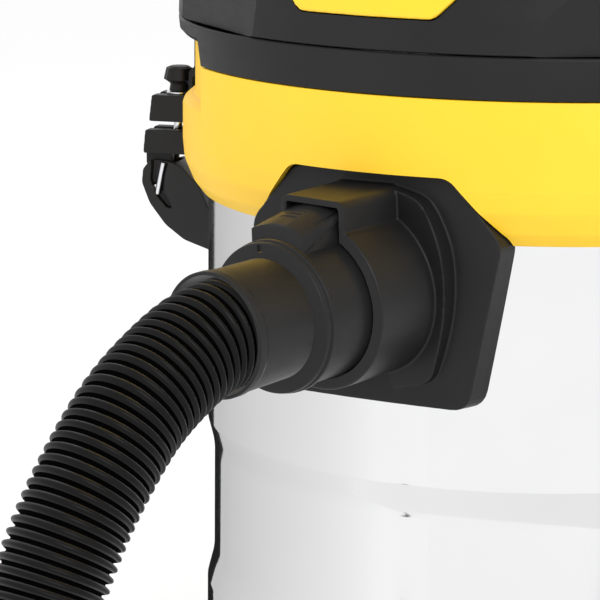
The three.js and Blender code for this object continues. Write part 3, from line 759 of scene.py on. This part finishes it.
def gasket():
    section = [(147.5, 400.3, 0.6), (152.4, 400.3, 0.6), (152.4, 402.7, 0.6), (147.5, 402.7, 0.6)]
    ring = lathe(section, 192)
    belongs(new_object("rim_gasket", ring, RUBBER), "machine", "dark_rubber", "head_gasket")


drum()
collar()
base()
gasket()


# ---------- head ----------

# The head's two flats: the azimuth in degrees, the distance from the axis at the seam, and how that grows
# with height
FLATS = ((-35, 157.9, -0.07), (36.7, 158.95, 0.046))


def beyond_flat(azimuth, distance, slope):
    """All that lies outside one of the head's flats."""
    low, high = SEAM_HEIGHT - 18, SEAM_HEIGHT + 120
    edge = [(distance + slope * (z - SEAM_HEIGHT), z) for z in (low, high)]
    bm = prism([*edge, (BIG, high), (BIG, low)], -BIG, BIG)
    bm.transform(Matrix.Rotation(math.radians(azimuth - 90), 4, "Z"))
    return bm


def head_band():
    band = lathe(
        [
            (0, 403), (157.6, 403), (158.2, 400.4, 0.3), (COLLAR_RADIUS, 400.4, 0.5),
            (HEAD_RADIUS, 417.2, 0.7), (HEAD_RADIUS - 0.8, 418, 0.3), (161.2, 418, 0.3),
            (161, 414.4, 0.3), (149, 414.4, 0.3), (149, 407, 0.3), (0, 407),
        ],
        256,
    )
    cuts = [drilled(18, 20, "Z", (0, 38, 405))]
    for side in (-1, 1):
        notch = block(156.8, 180, -28.5, 28.5, 395, 411.6)
        notch.transform(latch_turn(side))
        cuts.append(notch)
        lip = [
            (152.4, 395), (152.4, 408), (156, 408.4, 1), (160, 410.4, 2), (162, 412.6, 1),
            (175, 414), (175, 395),
        ]
        cuts.append(arc(lip, RECESS_HALF_WIDTH, side))
    post = [drilled(9, 64, "Z", (-CONTROL_X, CONTROL_Y, 438))]
    obj = combined("head_band", band, BLACK, join=post, cut=cuts, sharp=30)
    belongs(obj, "machine", "black_plastic", "head_base")


def dome_profile(lift, depth):
    """The head's shell, from lift outside its face to depth inside it."""
    top = [
        (105, DECK_HEIGHT, 14), (126, 495, 14), (143, 485, 14), (154, 470, 14), (159.8, 452, 14),
        (162.1, 432, 12),
    ]
    outer = [(r + lift, z + lift, f) for r, z, f in top]
    inner = [(r - depth, z - depth, f) for r, z, f in reversed(top)]
    return [
        (0, DECK_HEIGHT + lift),
        *outer,
        (HEAD_RADIUS + lift, SEAM_HEIGHT + 0.9, 0.5),
        (HEAD_RADIUS + lift - 0.8, SEAM_HEIGHT + 0.4, 0.3),
        (HEAD_RADIUS - depth, SEAM_HEIGHT + 0.4, 0.3),
        *inner,
        (0, DECK_HEIGHT - depth),
    ]


def door_outline(extra, corner):
    """The outline of the panel over the filter, grown by extra."""
    wide, narrow = 41 + extra, 31 + extra
    return mirrored([(wide, 520), (wide, 442 - extra, corner), (narrow, 432 - extra, corner)])


def cooling_slots(side):
    """Five slots over each other at the head's back."""
    slots = []
    for z in range(430, 465, 7):
        slot = prism([(-22, z, 1.6), (22, z, 1.6), (22, z + 3.4, 1.6), (-22, z + 3.4, 1.6)], 120, 180)
        slot.transform(Matrix.Rotation(math.radians(180 + side * 127.5), 4, "Z"))
        slots.append(slot)
    return slots


def head_cover():
    cover = lathe(dome_profile(0, 5.2), 320)
    ears = []
    cuts = [prism(door_outline(0.5, 6), -BIG, -19.5)]
    cuts += [beyond_flat(*flat) for flat in FLATS]
    for side in (-1, 1):
        outline = mirrored([(11, 497), (11, HANDLE_PIVOT, 8), (6, 520, 7)])
        ear = prism(outline, -3, 3)
        ear.transform(
            Matrix.Translation((side * HANDLE_EAR * MM, 0, 0)) @ Matrix.Rotation(math.pi / 2, 4, "Z")
        )
        ears.append(ear)
        cuts += cooling_slots(side)
    gland = drilled(7.6, 40, "Y", (0, 165, HOOK_HEIGHT), 32)
    gland.transform(Matrix.Rotation(GLAND_ANGLE, 4, "Z"))
    cuts += [
        drilled(3.4, 160, "X", (0, 0, HANDLE_PIVOT), 32),
        drilled(11.7, 40, "Z", (-CONTROL_X, CONTROL_Y, DECK_HEIGHT)),
        drilled(4.6, 40, "Z", (CONTROL_X, CONTROL_Y, DECK_HEIGHT), 32),
        drilled(18.4, 60, "Y", (0, 160, PORT_HEIGHT)),
        gland,
    ]
    obj = combined("head_shell", cover, BLACK, join=ears, cut=cuts, sharp=8)
    belongs(obj, "machine", "black_plastic", "head_cover")


def door():
    shell = lathe(dome_profile(1.2, 2.2), 320)
    front = prism(door_outline(0, 7), -BIG, -20)
    obj = combined("door_panel", shell, YELLOW, keep=[front], voxel=0.7, soften=6)
    belongs(obj, "door", "yellow_plastic", "filter_door")


def control_place(side):
    return Matrix.Translation((side * CONTROL_X * MM, CONTROL_Y * MM, 0))


def controls():
    knob = lathe([(0, 488), (4, 488), (4, 500.4), (18, 500.4, 0.6), (17, 508, 1.4), (0, 508)], 96)
    ridge = prism([(-3, 504), (3, 504), (2.4, 516, 1.2), (-2.4, 516, 1.2)], -15, 15)
    cuts = [drilled(1.3, 20, "Z", (x, y, 505), 16) for x, y in circle(18.2, 20)]
    cuts.append(block(-0.5, 0.5, -14, -6, 515.6, 520))
    obj = combined(
        "switch_dial",
        knob,
        YELLOW,
        join=[ridge],
        cut=cuts,
        voxel=0.35,
        soften=3,
        transform=control_place(1),
    )
    belongs(obj, "knob", "yellow_plastic", "switch_knob")
    cap = lathe(
        [
            (0, 499), (9.2, 499), (9.2, 493.6), (14, 493.6, 0.4), (14, 496.5, 0.4), (11, 496.5),
            (11, 508, 1.2), (7, 507.2, 2), (0, 507),
        ],
        96,
    )
    cap = new_object("clean_cap", cap, YELLOW, control_place(-1))
    belongs(cap, "button", "yellow_plastic", "clean_button")
    for name, side, inner in (("bezel_0", -1, 12.4), ("bezel_1", 1, 19.2)):
        outer = inner + 3
        ring = lathe([(inner, 499.8), (inner, 501.2, 0.5), (outer, 501, 0.9), (outer, 499.8)], 96)
        ring = new_object(name, ring, SMOOTH_BLACK, control_place(side))
        belongs(ring, "machine", "black_plastic")


def handle():
    bends = [(-72, -1), (-72, 30), (-72, 60), (-64, 80), (-44, 88), (0, 90)]
    bends += [(-x, y) for x, y in reversed(bends[:-1])]
    path = evenly(spline([(x, y, HANDLE_PIVOT) for x, y in bends]), 2)[0]
    middle = len(path) / 2
    squareness = 0.72

    def section(i):
        swell = 0.5 * math.exp(-(((i - middle) / 22) ** 4))
        wide, high = 5 + swell, 6.4 + swell * 0.6
        return [
            (math.copysign(abs(c) ** squareness, c) * wide, math.copysign(abs(s) ** squareness, s) * high)
            for c, s in circle(1, 40)
        ]

    bar = tube(path, section)
    eyes = [drilled(8.4, 10.6, "X", (side * 72.2, 0, HANDLE_PIVOT)) for side in (-1, 1)]
    hole = drilled(3.4, 200, "X", (0, 0, HANDLE_PIVOT), 32)
    obj = combined("handle_bar", bar, BLACK, join=eyes, cut=[hole], voxel=0.6, soften=4)
    belongs(obj, "handle", "black_plastic", "carry_handle")
    for name, side in (("left", -1), ("right", 1)):
        pin = lathe([(0, -10), (3, -10, 0.4), (3, 9), (4.6, 9, 0.5), (4.2, 11, 1), (0, 11.4)], 48)
        place = Matrix.Translation((side * (HANDLE_EAR + 6) * MM, 0, HANDLE_PIVOT * MM))
        place = place @ Matrix.Rotation(side * math.pi / 2, 4, "Y")
        obj = new_object("pin_" + name, pin, BRIGHT_STEEL, place)
        belongs(obj, "machine", "bright_steel", "handle_pin_" + name)


def blower_port():
    reach = 193.87
    back = Matrix.Translation((0, 0, PORT_HEIGHT * MM)) @ Matrix.Rotation(-math.pi / 2, 4, "X")
    port = lathe(
        [
            (14, 150, 0.3), (18, 150, 0.3), (18, 163, 0.6), (20.4, 164, 0.6), (20.4, 166, 0.6),
            (18, 167.5, 0.6), (18, reach - 6.4, 0.6), (21, reach - 5.4, 0.8), (21, reach - 0.2, 1),
            (14, reach - 0.2, 1),
        ],
        96,
    )
    belongs(new_object("blower_nozzle", port, BLACK, back), "machine", "black_plastic", "blower_port")


def cord_gland():
    """The rubber sleeve of the mains lead, grooved so that it bends."""
    turn = Matrix.Rotation(GLAND_ANGLE, 4, "Z") @ Matrix.Translation((0, 0.165, HOOK_HEIGHT * MM))
    turn = turn @ Matrix.Rotation(-math.pi / 2, 4, "X")
    sleeve = [(4.5, -11), (7.2, -11), (7.2, -1.5), (11, -1.5, 0.8), (11, 1.5, 0.8), (7.5, 2.6, 0.6)]
    for k in range(4):
        start = 5 + 4 * k
        outer = 7.3 - 0.3 * k
        sleeve += [(outer, start, 0.3), (outer - 1.1, start + 0.6, 0.3), (outer - 1.1, start + 1.6, 0.3)]
        sleeve += [(outer - 0.2, start + 2.2, 0.3)]
    sleeve += [(6.1, 22, 0.5), (4.5, 22, 0.5)]
    sleeve = new_object("gland_sleeve", lathe(sleeve, 64), RUBBER, turn)
    belongs(sleeve, "machine", "dark_rubber", "cord_gland")


def cord_hook():
    foot = drilled(9, 9.6, "Y", (0, 165.2, HOOK_HEIGHT))
    outline = [(168, 400, 1), (190, 400, 2), (190, 406, 2), (176, 406, 4), (176, 446, 3), (168, 449, 2)]
    arm = prism(outline, -5, 5)
    arm.transform(Matrix.Rotation(math.pi / 2, 4, "Z"))
    place = Matrix.Rotation(HOOK_ANGLE, 4, "Z")
    screw = drilled(2.6, 3, "Y", (0, 176, HOOK_HEIGHT), 6)
    obj = combined(
        "lead_hook", foot, BLACK, join=[arm], cut=[screw], voxel=0.45, soften=4, transform=place
    )
    belongs(obj, "machine", "black_plastic", "cord_hook")


head_band()
head_cover()
door()
controls()
handle()
blower_port()
cord_gland()
cord_hook()


# ---------- inlet ----------

# Half outline of the boss that the socket's sleeve stands on
BOSS = [
    (11, 362.4), (19, 361), (26.5, 358.4), (30.8, 353.6), (35.6, 344), (38.2, 335), (39.2, 325),
    (38.8, 313), (36.8, 302), (34, 291.5), (31.2, 285), (26, 281.6), (13, 279),
]


def smooth_outline(points):
    """A closed outline through the points, as a smooth curve."""
    looped = [(x, 0, z) for x, z in (points[-1:] + points + points[:2])]
    per_span = 8
    curve = spline(looped, per_span)[per_span : per_span * (len(points) + 1)]
    return [(p.x, p.z) for p in curve]


def inlet_plate():
    """The plate against the drum, with a crowned face and sides that widen downwards and backwards."""
    widening = 3.6
    plate = prism(plate_outline(1, 1), -170, -120)
    bmesh.ops.subdivide_edges(plate, edges=plate.edges, cuts=9, use_grid_fill=True)
    for vertex in plate.verts:
        below, behind = PLATE_SHOULDER * MM - vertex.co.z, vertex.co.y + PLATE_FACE * MM
        flare = widening * max(0, below) * max(0, behind)
        vertex.co.x += math.copysign(flare, vertex.co.x)
    crown = drilled(500, 200, "Z", (0, 500 - PLATE_FACE, INLET_HEIGHT), 512)
    return taken(combined("plate", plate, BLACK, keep=[crown]))


def along_inlet(bm, turn=Matrix()):
    """A bmesh turned and set on the inlet's axes."""
    bm.transform(turn)
    bm.transform(INLET)
    return bm


def inlet():
    plate = inlet_plate()
    behind_face = along_inlet(block(-80, 80, -0.4, 60, -80, 80))
    boss = prism(smooth_outline(mirrored(BOSS)), -190, -148)
    boss = taken(combined("boss", boss, BLACK, keep=[behind_face]))
    plate = taken(combined("plate", plate, BLACK, join=[boss]))
    sleeve = lathe([(0, -14), (35.2, -14), (35.5, 33.6, 1.2), (34.2, 34, 0.6), (0, 34)], 160)
    hump = prism(mirrored([(16.5, 44, 4), (16.5, 10)]), -34, 4)
    bore = lathe([(0, -60), (30.6, -60), (30.6, 60), (0, 60)], 160)
    keyway = prism(mirrored([(13.9, 41.4, 1.2), (13.9, 5)]), -BIG, -24)
    socket = combined(
        "socket",
        plate,
        BLACK,
        join=[along_inlet(sleeve, OUTWARDS), along_inlet(hump)],
        cut=[along_inlet(bore, OUTWARDS), along_inlet(keyway)],
        voxel=0.42,
        soften=2,
    )
    drum_side = drilled(DRUM_RADIUS + 0.4, 300, "Z", (0, 0, 300), 256)
    obj = combined("inlet_housing", taken(socket), BLACK, cut=[drum_side], sharp=50)
    belongs(obj, "machine", "black_plastic", "inlet_socket")


inlet()


# ---------- latches ----------

# Each latch is made as if it stood at +X, its outlines in radius and height, and turned into place.


def latch_part(name, bm, material, turn, cut, join=()):
    return combined(name, bm, material, join=join, cut=cut, voxel=0.35, soften=3, transform=turn)


def pivot_hole(length):
    return drilled(2.35, length, "Y", (PIVOT_R, 0, PIVOT_Z), 32)


def rod_slot():
    return block(167.5, 195, -2.8, 2.8, 345, 380)


def latch_keeper(word, turn):
    """The fork on the head's side that the knob pulls on."""
    outline = [
        (157.2, 411, 0.5), (157.2, 385.2), (161.2, 384.4), (161.2, 363), (182.4, 363, 1),
        (181, 375.2, 1), (163.2, 375.2, 1.5), (163.2, 386.5, 1.5), (160.6, 389, 0.5),
        (160.6, 411, 0.5),
    ]
    fork = prism(outline, -FORK_HALF_WIDTH, FORK_HALF_WIDTH)
    obj = latch_part("keeper_fork_" + word, fork, BLACK, turn, [rod_slot()])
    belongs(obj, "machine", "black_plastic", "latch_keeper_" + word)


def latch_bracket(word, turn):
    """The bracket on the collar, with the two arms that hold the hinge pin."""
    outline = [(161.2, 359, 1), (161.2, 354), (158, 348.2, 1), (185.2, 348.2, 1), (184.2, 359, 1)]
    arms = prism([(172, 349), (185, 349), (184.4, 332, 4), (179, 327, 4), (173.4, 331, 4)], -5.6, 5.6)
    fork = prism(outline, -FORK_HALF_WIDTH, FORK_HALF_WIDTH)
    cuts = [rod_slot(), block(167.5, 195, -2.6, 2.6, 320, 347), pivot_hole(60)]
    obj = latch_part("bracket_fork_" + word, fork, BLACK, turn, cuts, [arms])
    belongs(obj, "machine", "black_plastic", "latch_bracket_" + word)


def latch_lever(word, turn):
    """The curved cam lever, with a groove and a wire along each side."""
    outline = [
        (181.6, 345, 1.5), (184.8, 341, 3), (185.4, 334.7, 6), (181.6, 325.3, 12),
        (174, 315.6, 12), (165, 309, 10), (152, 304.6, 0.8), (151.6, 311, 0.8), (152.4, 322, 8),
        (157.5, 334, 8), (166, 342.5, 4), (170.5, 344.4, 2),
    ]
    groove = [
        (180.3, 352), (180.8, 342, 2), (181.2, 336, 2), (178.4, 329, 4), (173.5, 323.6, 1.5),
        (170.6, 323, 1), (171.6, 325.6, 1), (174.3, 331, 4), (174.4, 338, 4), (172.4, 345, 2),
        (172, 352),
    ]
    room = drilled(14.9, 12, "Y", (PIVOT_R, 0, PIVOT_Z), 96)
    cuts = [pivot_hole(19), room, prism(groove, -12, -7.6), prism(groove, 7.6, 12)]
    obj = latch_part("cam_lever_" + word, prism(outline, -11, 11), SMOOTH_BLACK, turn, cuts)
    belongs(obj, "lever_" + word, "black_plastic", "latch_lever_" + word)
    run = [(178.5, 329.5), (177.7, 333), (176.6, 338.5), (175.4, 344)]
    for end, y in (("front", 9.2), ("back", -9.2)):
        wire = tube([Vector((r, y, z)) for r, z in run], lambda i: circle(1.25, 20))
        wire = new_object("lever_wire_%s_%s" % (end, word), wire, BRIGHT_STEEL, turn)
        belongs(wire, "lever_" + word, "bright_steel")


def latch_rod(word, turn):
    """The rod from the pivot up through both forks, threaded above the bend."""
    bends = [(PIVOT_R - 0.8, 0, 335), (175, 0, 347), (KNOB_R + 0.8, 0, 360), (KNOB_R, 0, 376.2)]
    path = evenly(spline(bends), 0.8)[0]
    plain_end, thread_depth = 40, 0.22

    def section(i):
        valley = i % 2 and i > plain_end
        return circle(1.9 - thread_depth if valley else 1.9, 20)

    thread = tube(path, section, Vector((0, 1, 0)))
    eye = drilled(4.6, 4.4, "Y", (PIVOT_R, 0, PIVOT_Z), 48)
    hole = pivot_hole(60)
    obj = combined("pull_rod_" + word, eye, BRIGHT_STEEL, join=[thread], cut=[hole], transform=turn)
    belongs(obj, "latch_pull_" + word, "bright_steel", "latch_rod_" + word)


def latch_knob(word, turn):
    """The six-lobed knob on the rod's end and the washer under it."""
    place = turn @ Matrix.Translation((KNOB_R * MM, 0, 0))
    washer = lathe([(2, 375.3), (6, 375.3, 0.2), (6, 376.3, 0.2), (2, 376.3)], 48)
    obj = new_object("washer_" + word, washer, BRIGHT_STEEL, place)
    belongs(obj, "latch_pull_" + word, "bright_steel")
    profile = [
        (0, 376.5), (4.8, 376.5, 0.5), (4.2, 380, 1), (7.1, 381.8, 0.5), (5.9, 387, 0.7),
        (4.2, 388, 1.2), (0, 388),
    ]

    def lobed(angle, r, z):
        return (r + 0.45 * math.cos(6 * angle) if r > 5 else r, z)

    obj = new_object("tension_knob_" + word, lathe(profile, 72, lobed), BLACK, place)
    belongs(obj, "latch_pull_" + word, "black_plastic", "latch_knob_" + word)


def latch_pin(word, turn):
    pin = lathe([(0, -9.3), (1.7, -9.3, 0.3), (2, -9, 0.2), (2, 9, 0.2), (1.7, 9.3, 0.3), (0, 9.3)], 40)
    pin.transform(Matrix.Rotation(math.pi / 2, 4, "X"))
    pin.transform(Matrix.Translation((PIVOT_R * MM, 0, PIVOT_Z * MM)))
    obj = new_object("hinge_pin_" + word, pin, BRIGHT_STEEL, turn)
    belongs(obj, "machine", "bright_steel", "latch_pin_" + word)


for word, side in (("left", -1), ("right", 1)):
    turn = latch_turn(side)
    latch_keeper(word, turn)
    latch_bracket(word, turn)
    latch_lever(word, turn)
    latch_rod(word, turn)
    latch_knob(word, turn)
    latch_pin(word, turn)


# ---------- castors ----------


def castor(word, x, y):
    """A swivelling fork with its stem and axle, and a wheel that trails behind it."""
    place = Matrix.Translation((x * MM, y * MM, 0)) @ Matrix.Rotation(math.pi / 2, 4, "Z")
    plate = lathe([(0, 52.6), (16, 52.6, 1), (16, 56.6, 1), (7, 56.6, 0.5), (6, 57.6, 0.4), (0, 57.6)], 64)
    outline = [(-12, 55, 2), (15, 55, 2), (26.5, 32, 6), (25, 18.5, 6), (11, 17.5, 6), (6, 24, 5)]
    stem = drilled(5, 18, "Z", (0, 0, 65), 32)
    axle = drilled(3, 28, "Y", (WHEEL_TRAIL, 0, WHEEL_RADIUS), 32)
    boss = drilled(5.2, 32, "Y", (WHEEL_TRAIL, 0, WHEEL_RADIUS), 48)
    joins = [prism(outline, -15.4, -12), prism(outline, 12, 15.4), boss]
    gap = block(-30, 60, -11.7, 11.7, 10, 50.5)
    fork = combined(
        "fork_" + word, plate, BLACK, join=joins, cut=[gap], voxel=0.55, soften=3, transform=place
    )
    belongs(fork, "castor_" + word, "black_plastic", "castor_fork_" + word)
    for name, shaft in (("stem_", stem), ("axle_", axle)):
        obj = combined(name + word, shaft, BRIGHT_STEEL, transform=place)
        belongs(obj, "castor_" + word, "bright_steel")
    spin = place @ Matrix.Translation((WHEEL_TRAIL * MM, 0, WHEEL_RADIUS * MM)) @ OUTWARDS
    tread = lathe(
        [
            (18.5, -8.5, 0.6), (21.5, -9.8, 1.5), (24.4, -8.6, 2.5), (25, 0, 30), (24.4, 8.6, 2.5),
            (21.5, 9.8, 1.5), (18.5, 8.5, 0.6),
        ],
        96,
    )
    tyre = new_object("tyre_" + word, tread, TYRE, spin)
    belongs(tyre, "wheel_" + word, "dark_rubber", "castor_wheel_" + word)
    hub = lathe(
        [
            (3.6, -10, 0.4), (7, -10, 0.6), (7.6, -7, 1), (16, -5.4, 1), (18.6, -8, 0.8),
            (18.6, 8, 0.8), (16, 5.4, 1), (7.6, 7, 1), (7, 10, 0.6), (3.6, 10, 0.4),
        ],
        64,
    )
    belongs(new_object("hub_" + word, hub, BLACK, spin), "wheel_" + word, "black_plastic")


for word, x, y in (
    ("front_left", -1, -1),
    ("front_right", 1, -1),
    ("rear_left", -1, 1),
    ("rear_right", 1, 1),
):
    castor(word, x * CASTOR_XY, y * CASTOR_XY)


# ---------- CAD nodes that keep their own shape ----------

KEPT = {
    "inlet_deflector": BLACK,
    "filter_cassette": BLACK,
    "flat_filter": PAPER,
    "motor_housing": BLACK,
    "motor_stator": COPPER,
    "motor_bracket": BRIGHT_STEEL,
    "lower_bearing": BRIGHT_STEEL,
    "upper_bearing": BRIGHT_STEEL,
    "motor_rotor": COPPER,
    "impeller": FAN_METAL,
    "motor_damper": RUBBER,
    "float_cage": NATURAL,
    "float_ball": NATURAL,
    "button_spring": BRIGHT_STEEL,
}
for node, material in KEPT.items():
    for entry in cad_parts[node].material_slots:
        entry.material = material


# ---------- floor and light ----------

MIDDLE = (0, -0.05, 0.35)
# What the drum reflects: a dark card for its left edge, a grey one for its left side, and two on the floor.
# Each has its centre, width, height, the point that it faces, and its material with the glow at both ends.
CARDS = (
    ("edge_card", (-0.349, 0.164, 0.2), 0.15, 0.36, (-0.103, -0.008, 0.2), ("dark_card", 0.002, 0.003)),
    ("side_card", (-0.239, -0.332, 0.36), 0.92, 0.7, (0.032, -0.236, 0.36), ("grey_card", 0.62, 1.12)),
    ("floor_card", (0.25, -1.92, 0.004), 5, 3.5, (0.25, -1.92, -0.2), ("white_card", 1.12, 1.08)),
    ("near_card", (0.15, -0.36, 0.008), 1.3, 0.38, (0.15, -0.36, -0.2), ("pale_card", 0.95, 1.02)),
)


def paper(name, color):
    """Matt paper with a hardly visible cloudiness."""
    n = Nodes(name)
    n.shader.inputs["Roughness"].default_value = 0.9
    n.link(n.mixed(n.noise(3, 2), color, [c * 0.985 for c in color]), n.shader.inputs["Base Color"])
    return n.material


def glowing(name, near, far):
    """A card's own glow, which goes from one brightness to another along the card's X."""
    n = Nodes(name)
    n.shader.inputs["Base Color"].default_value = (0, 0, 0, 1)
    n.shader.inputs["Roughness"].default_value = 1
    split = n.add("ShaderNodeSeparateXYZ")
    n.link(n.add("ShaderNodeTexCoord").outputs["Generated"], split.inputs[0])
    tone = n.mixed(n.ranged(split.outputs["X"], 0, 1, 0.08, 0.68), (near,) * 3, (far,) * 3)
    n.link(tone, n.shader.inputs["Emission Color"])
    n.shader.inputs["Emission Strength"].default_value = 1
    return n.material


def looking(centre, aim):
    """The place of something at a centre whose -Z looks at a point."""
    turn = (Vector(centre) - Vector(aim)).to_track_quat("Z", "Y").to_matrix().to_4x4()
    return Matrix.Translation(centre) @ turn


def card(name, centre, wide, high, facing, material):
    """A flat card that looks at a point and shows only in reflections."""
    bm = bmesh.new()
    bmesh.ops.create_grid(bm, x_segments=1, y_segments=1, size=0.5)
    bm.transform(Matrix.Diagonal((wide, high, 1, 1)))
    obj = new_object(name, bm, material)
    obj.matrix_world = looking(centre, facing)
    obj.visible_camera = False
    obj.visible_diffuse = False
    obj.visible_shadow = False


def area_light(name, centre, size, power):
    """A square light that looks at the machine's middle."""
    data = bpy.data.lights.new(name, "AREA")
    data.shape = "RECTANGLE"
    data.size, data.size_y = size, size
    data.energy = power
    light = bpy.data.objects.new(name, data)
    bpy.context.scene.collection.objects.link(light)
    light.matrix_world = looking(centre, MIDDLE)


def studio():
    world = bpy.data.worlds.new("studio")
    bpy.context.scene.world = world
    world.use_nodes = True
    sky = world.node_tree.nodes["Background"]
    sky.inputs["Color"].default_value = (1, 1, 1, 1)
    sky.inputs["Strength"].default_value = 0.98
    bm = bmesh.new()
    bmesh.ops.create_grid(bm, x_segments=1, y_segments=1, size=6)
    floor = new_object("floor", bm, paper("floor_paper", (0.98, 0.98, 0.98)))
    area_light("key", (1.9, -1.7, 1.9), 1.6, 36)
    area_light("fill", (-1.6, -1.2, 1.3), 1.4, 9)
    for name, centre, wide, high, facing, glow in CARDS:
        card(name, centre, wide, high, facing, glowing(*glow))
    bpy.context.scene.view_settings.view_transform = "Standard"


studio()
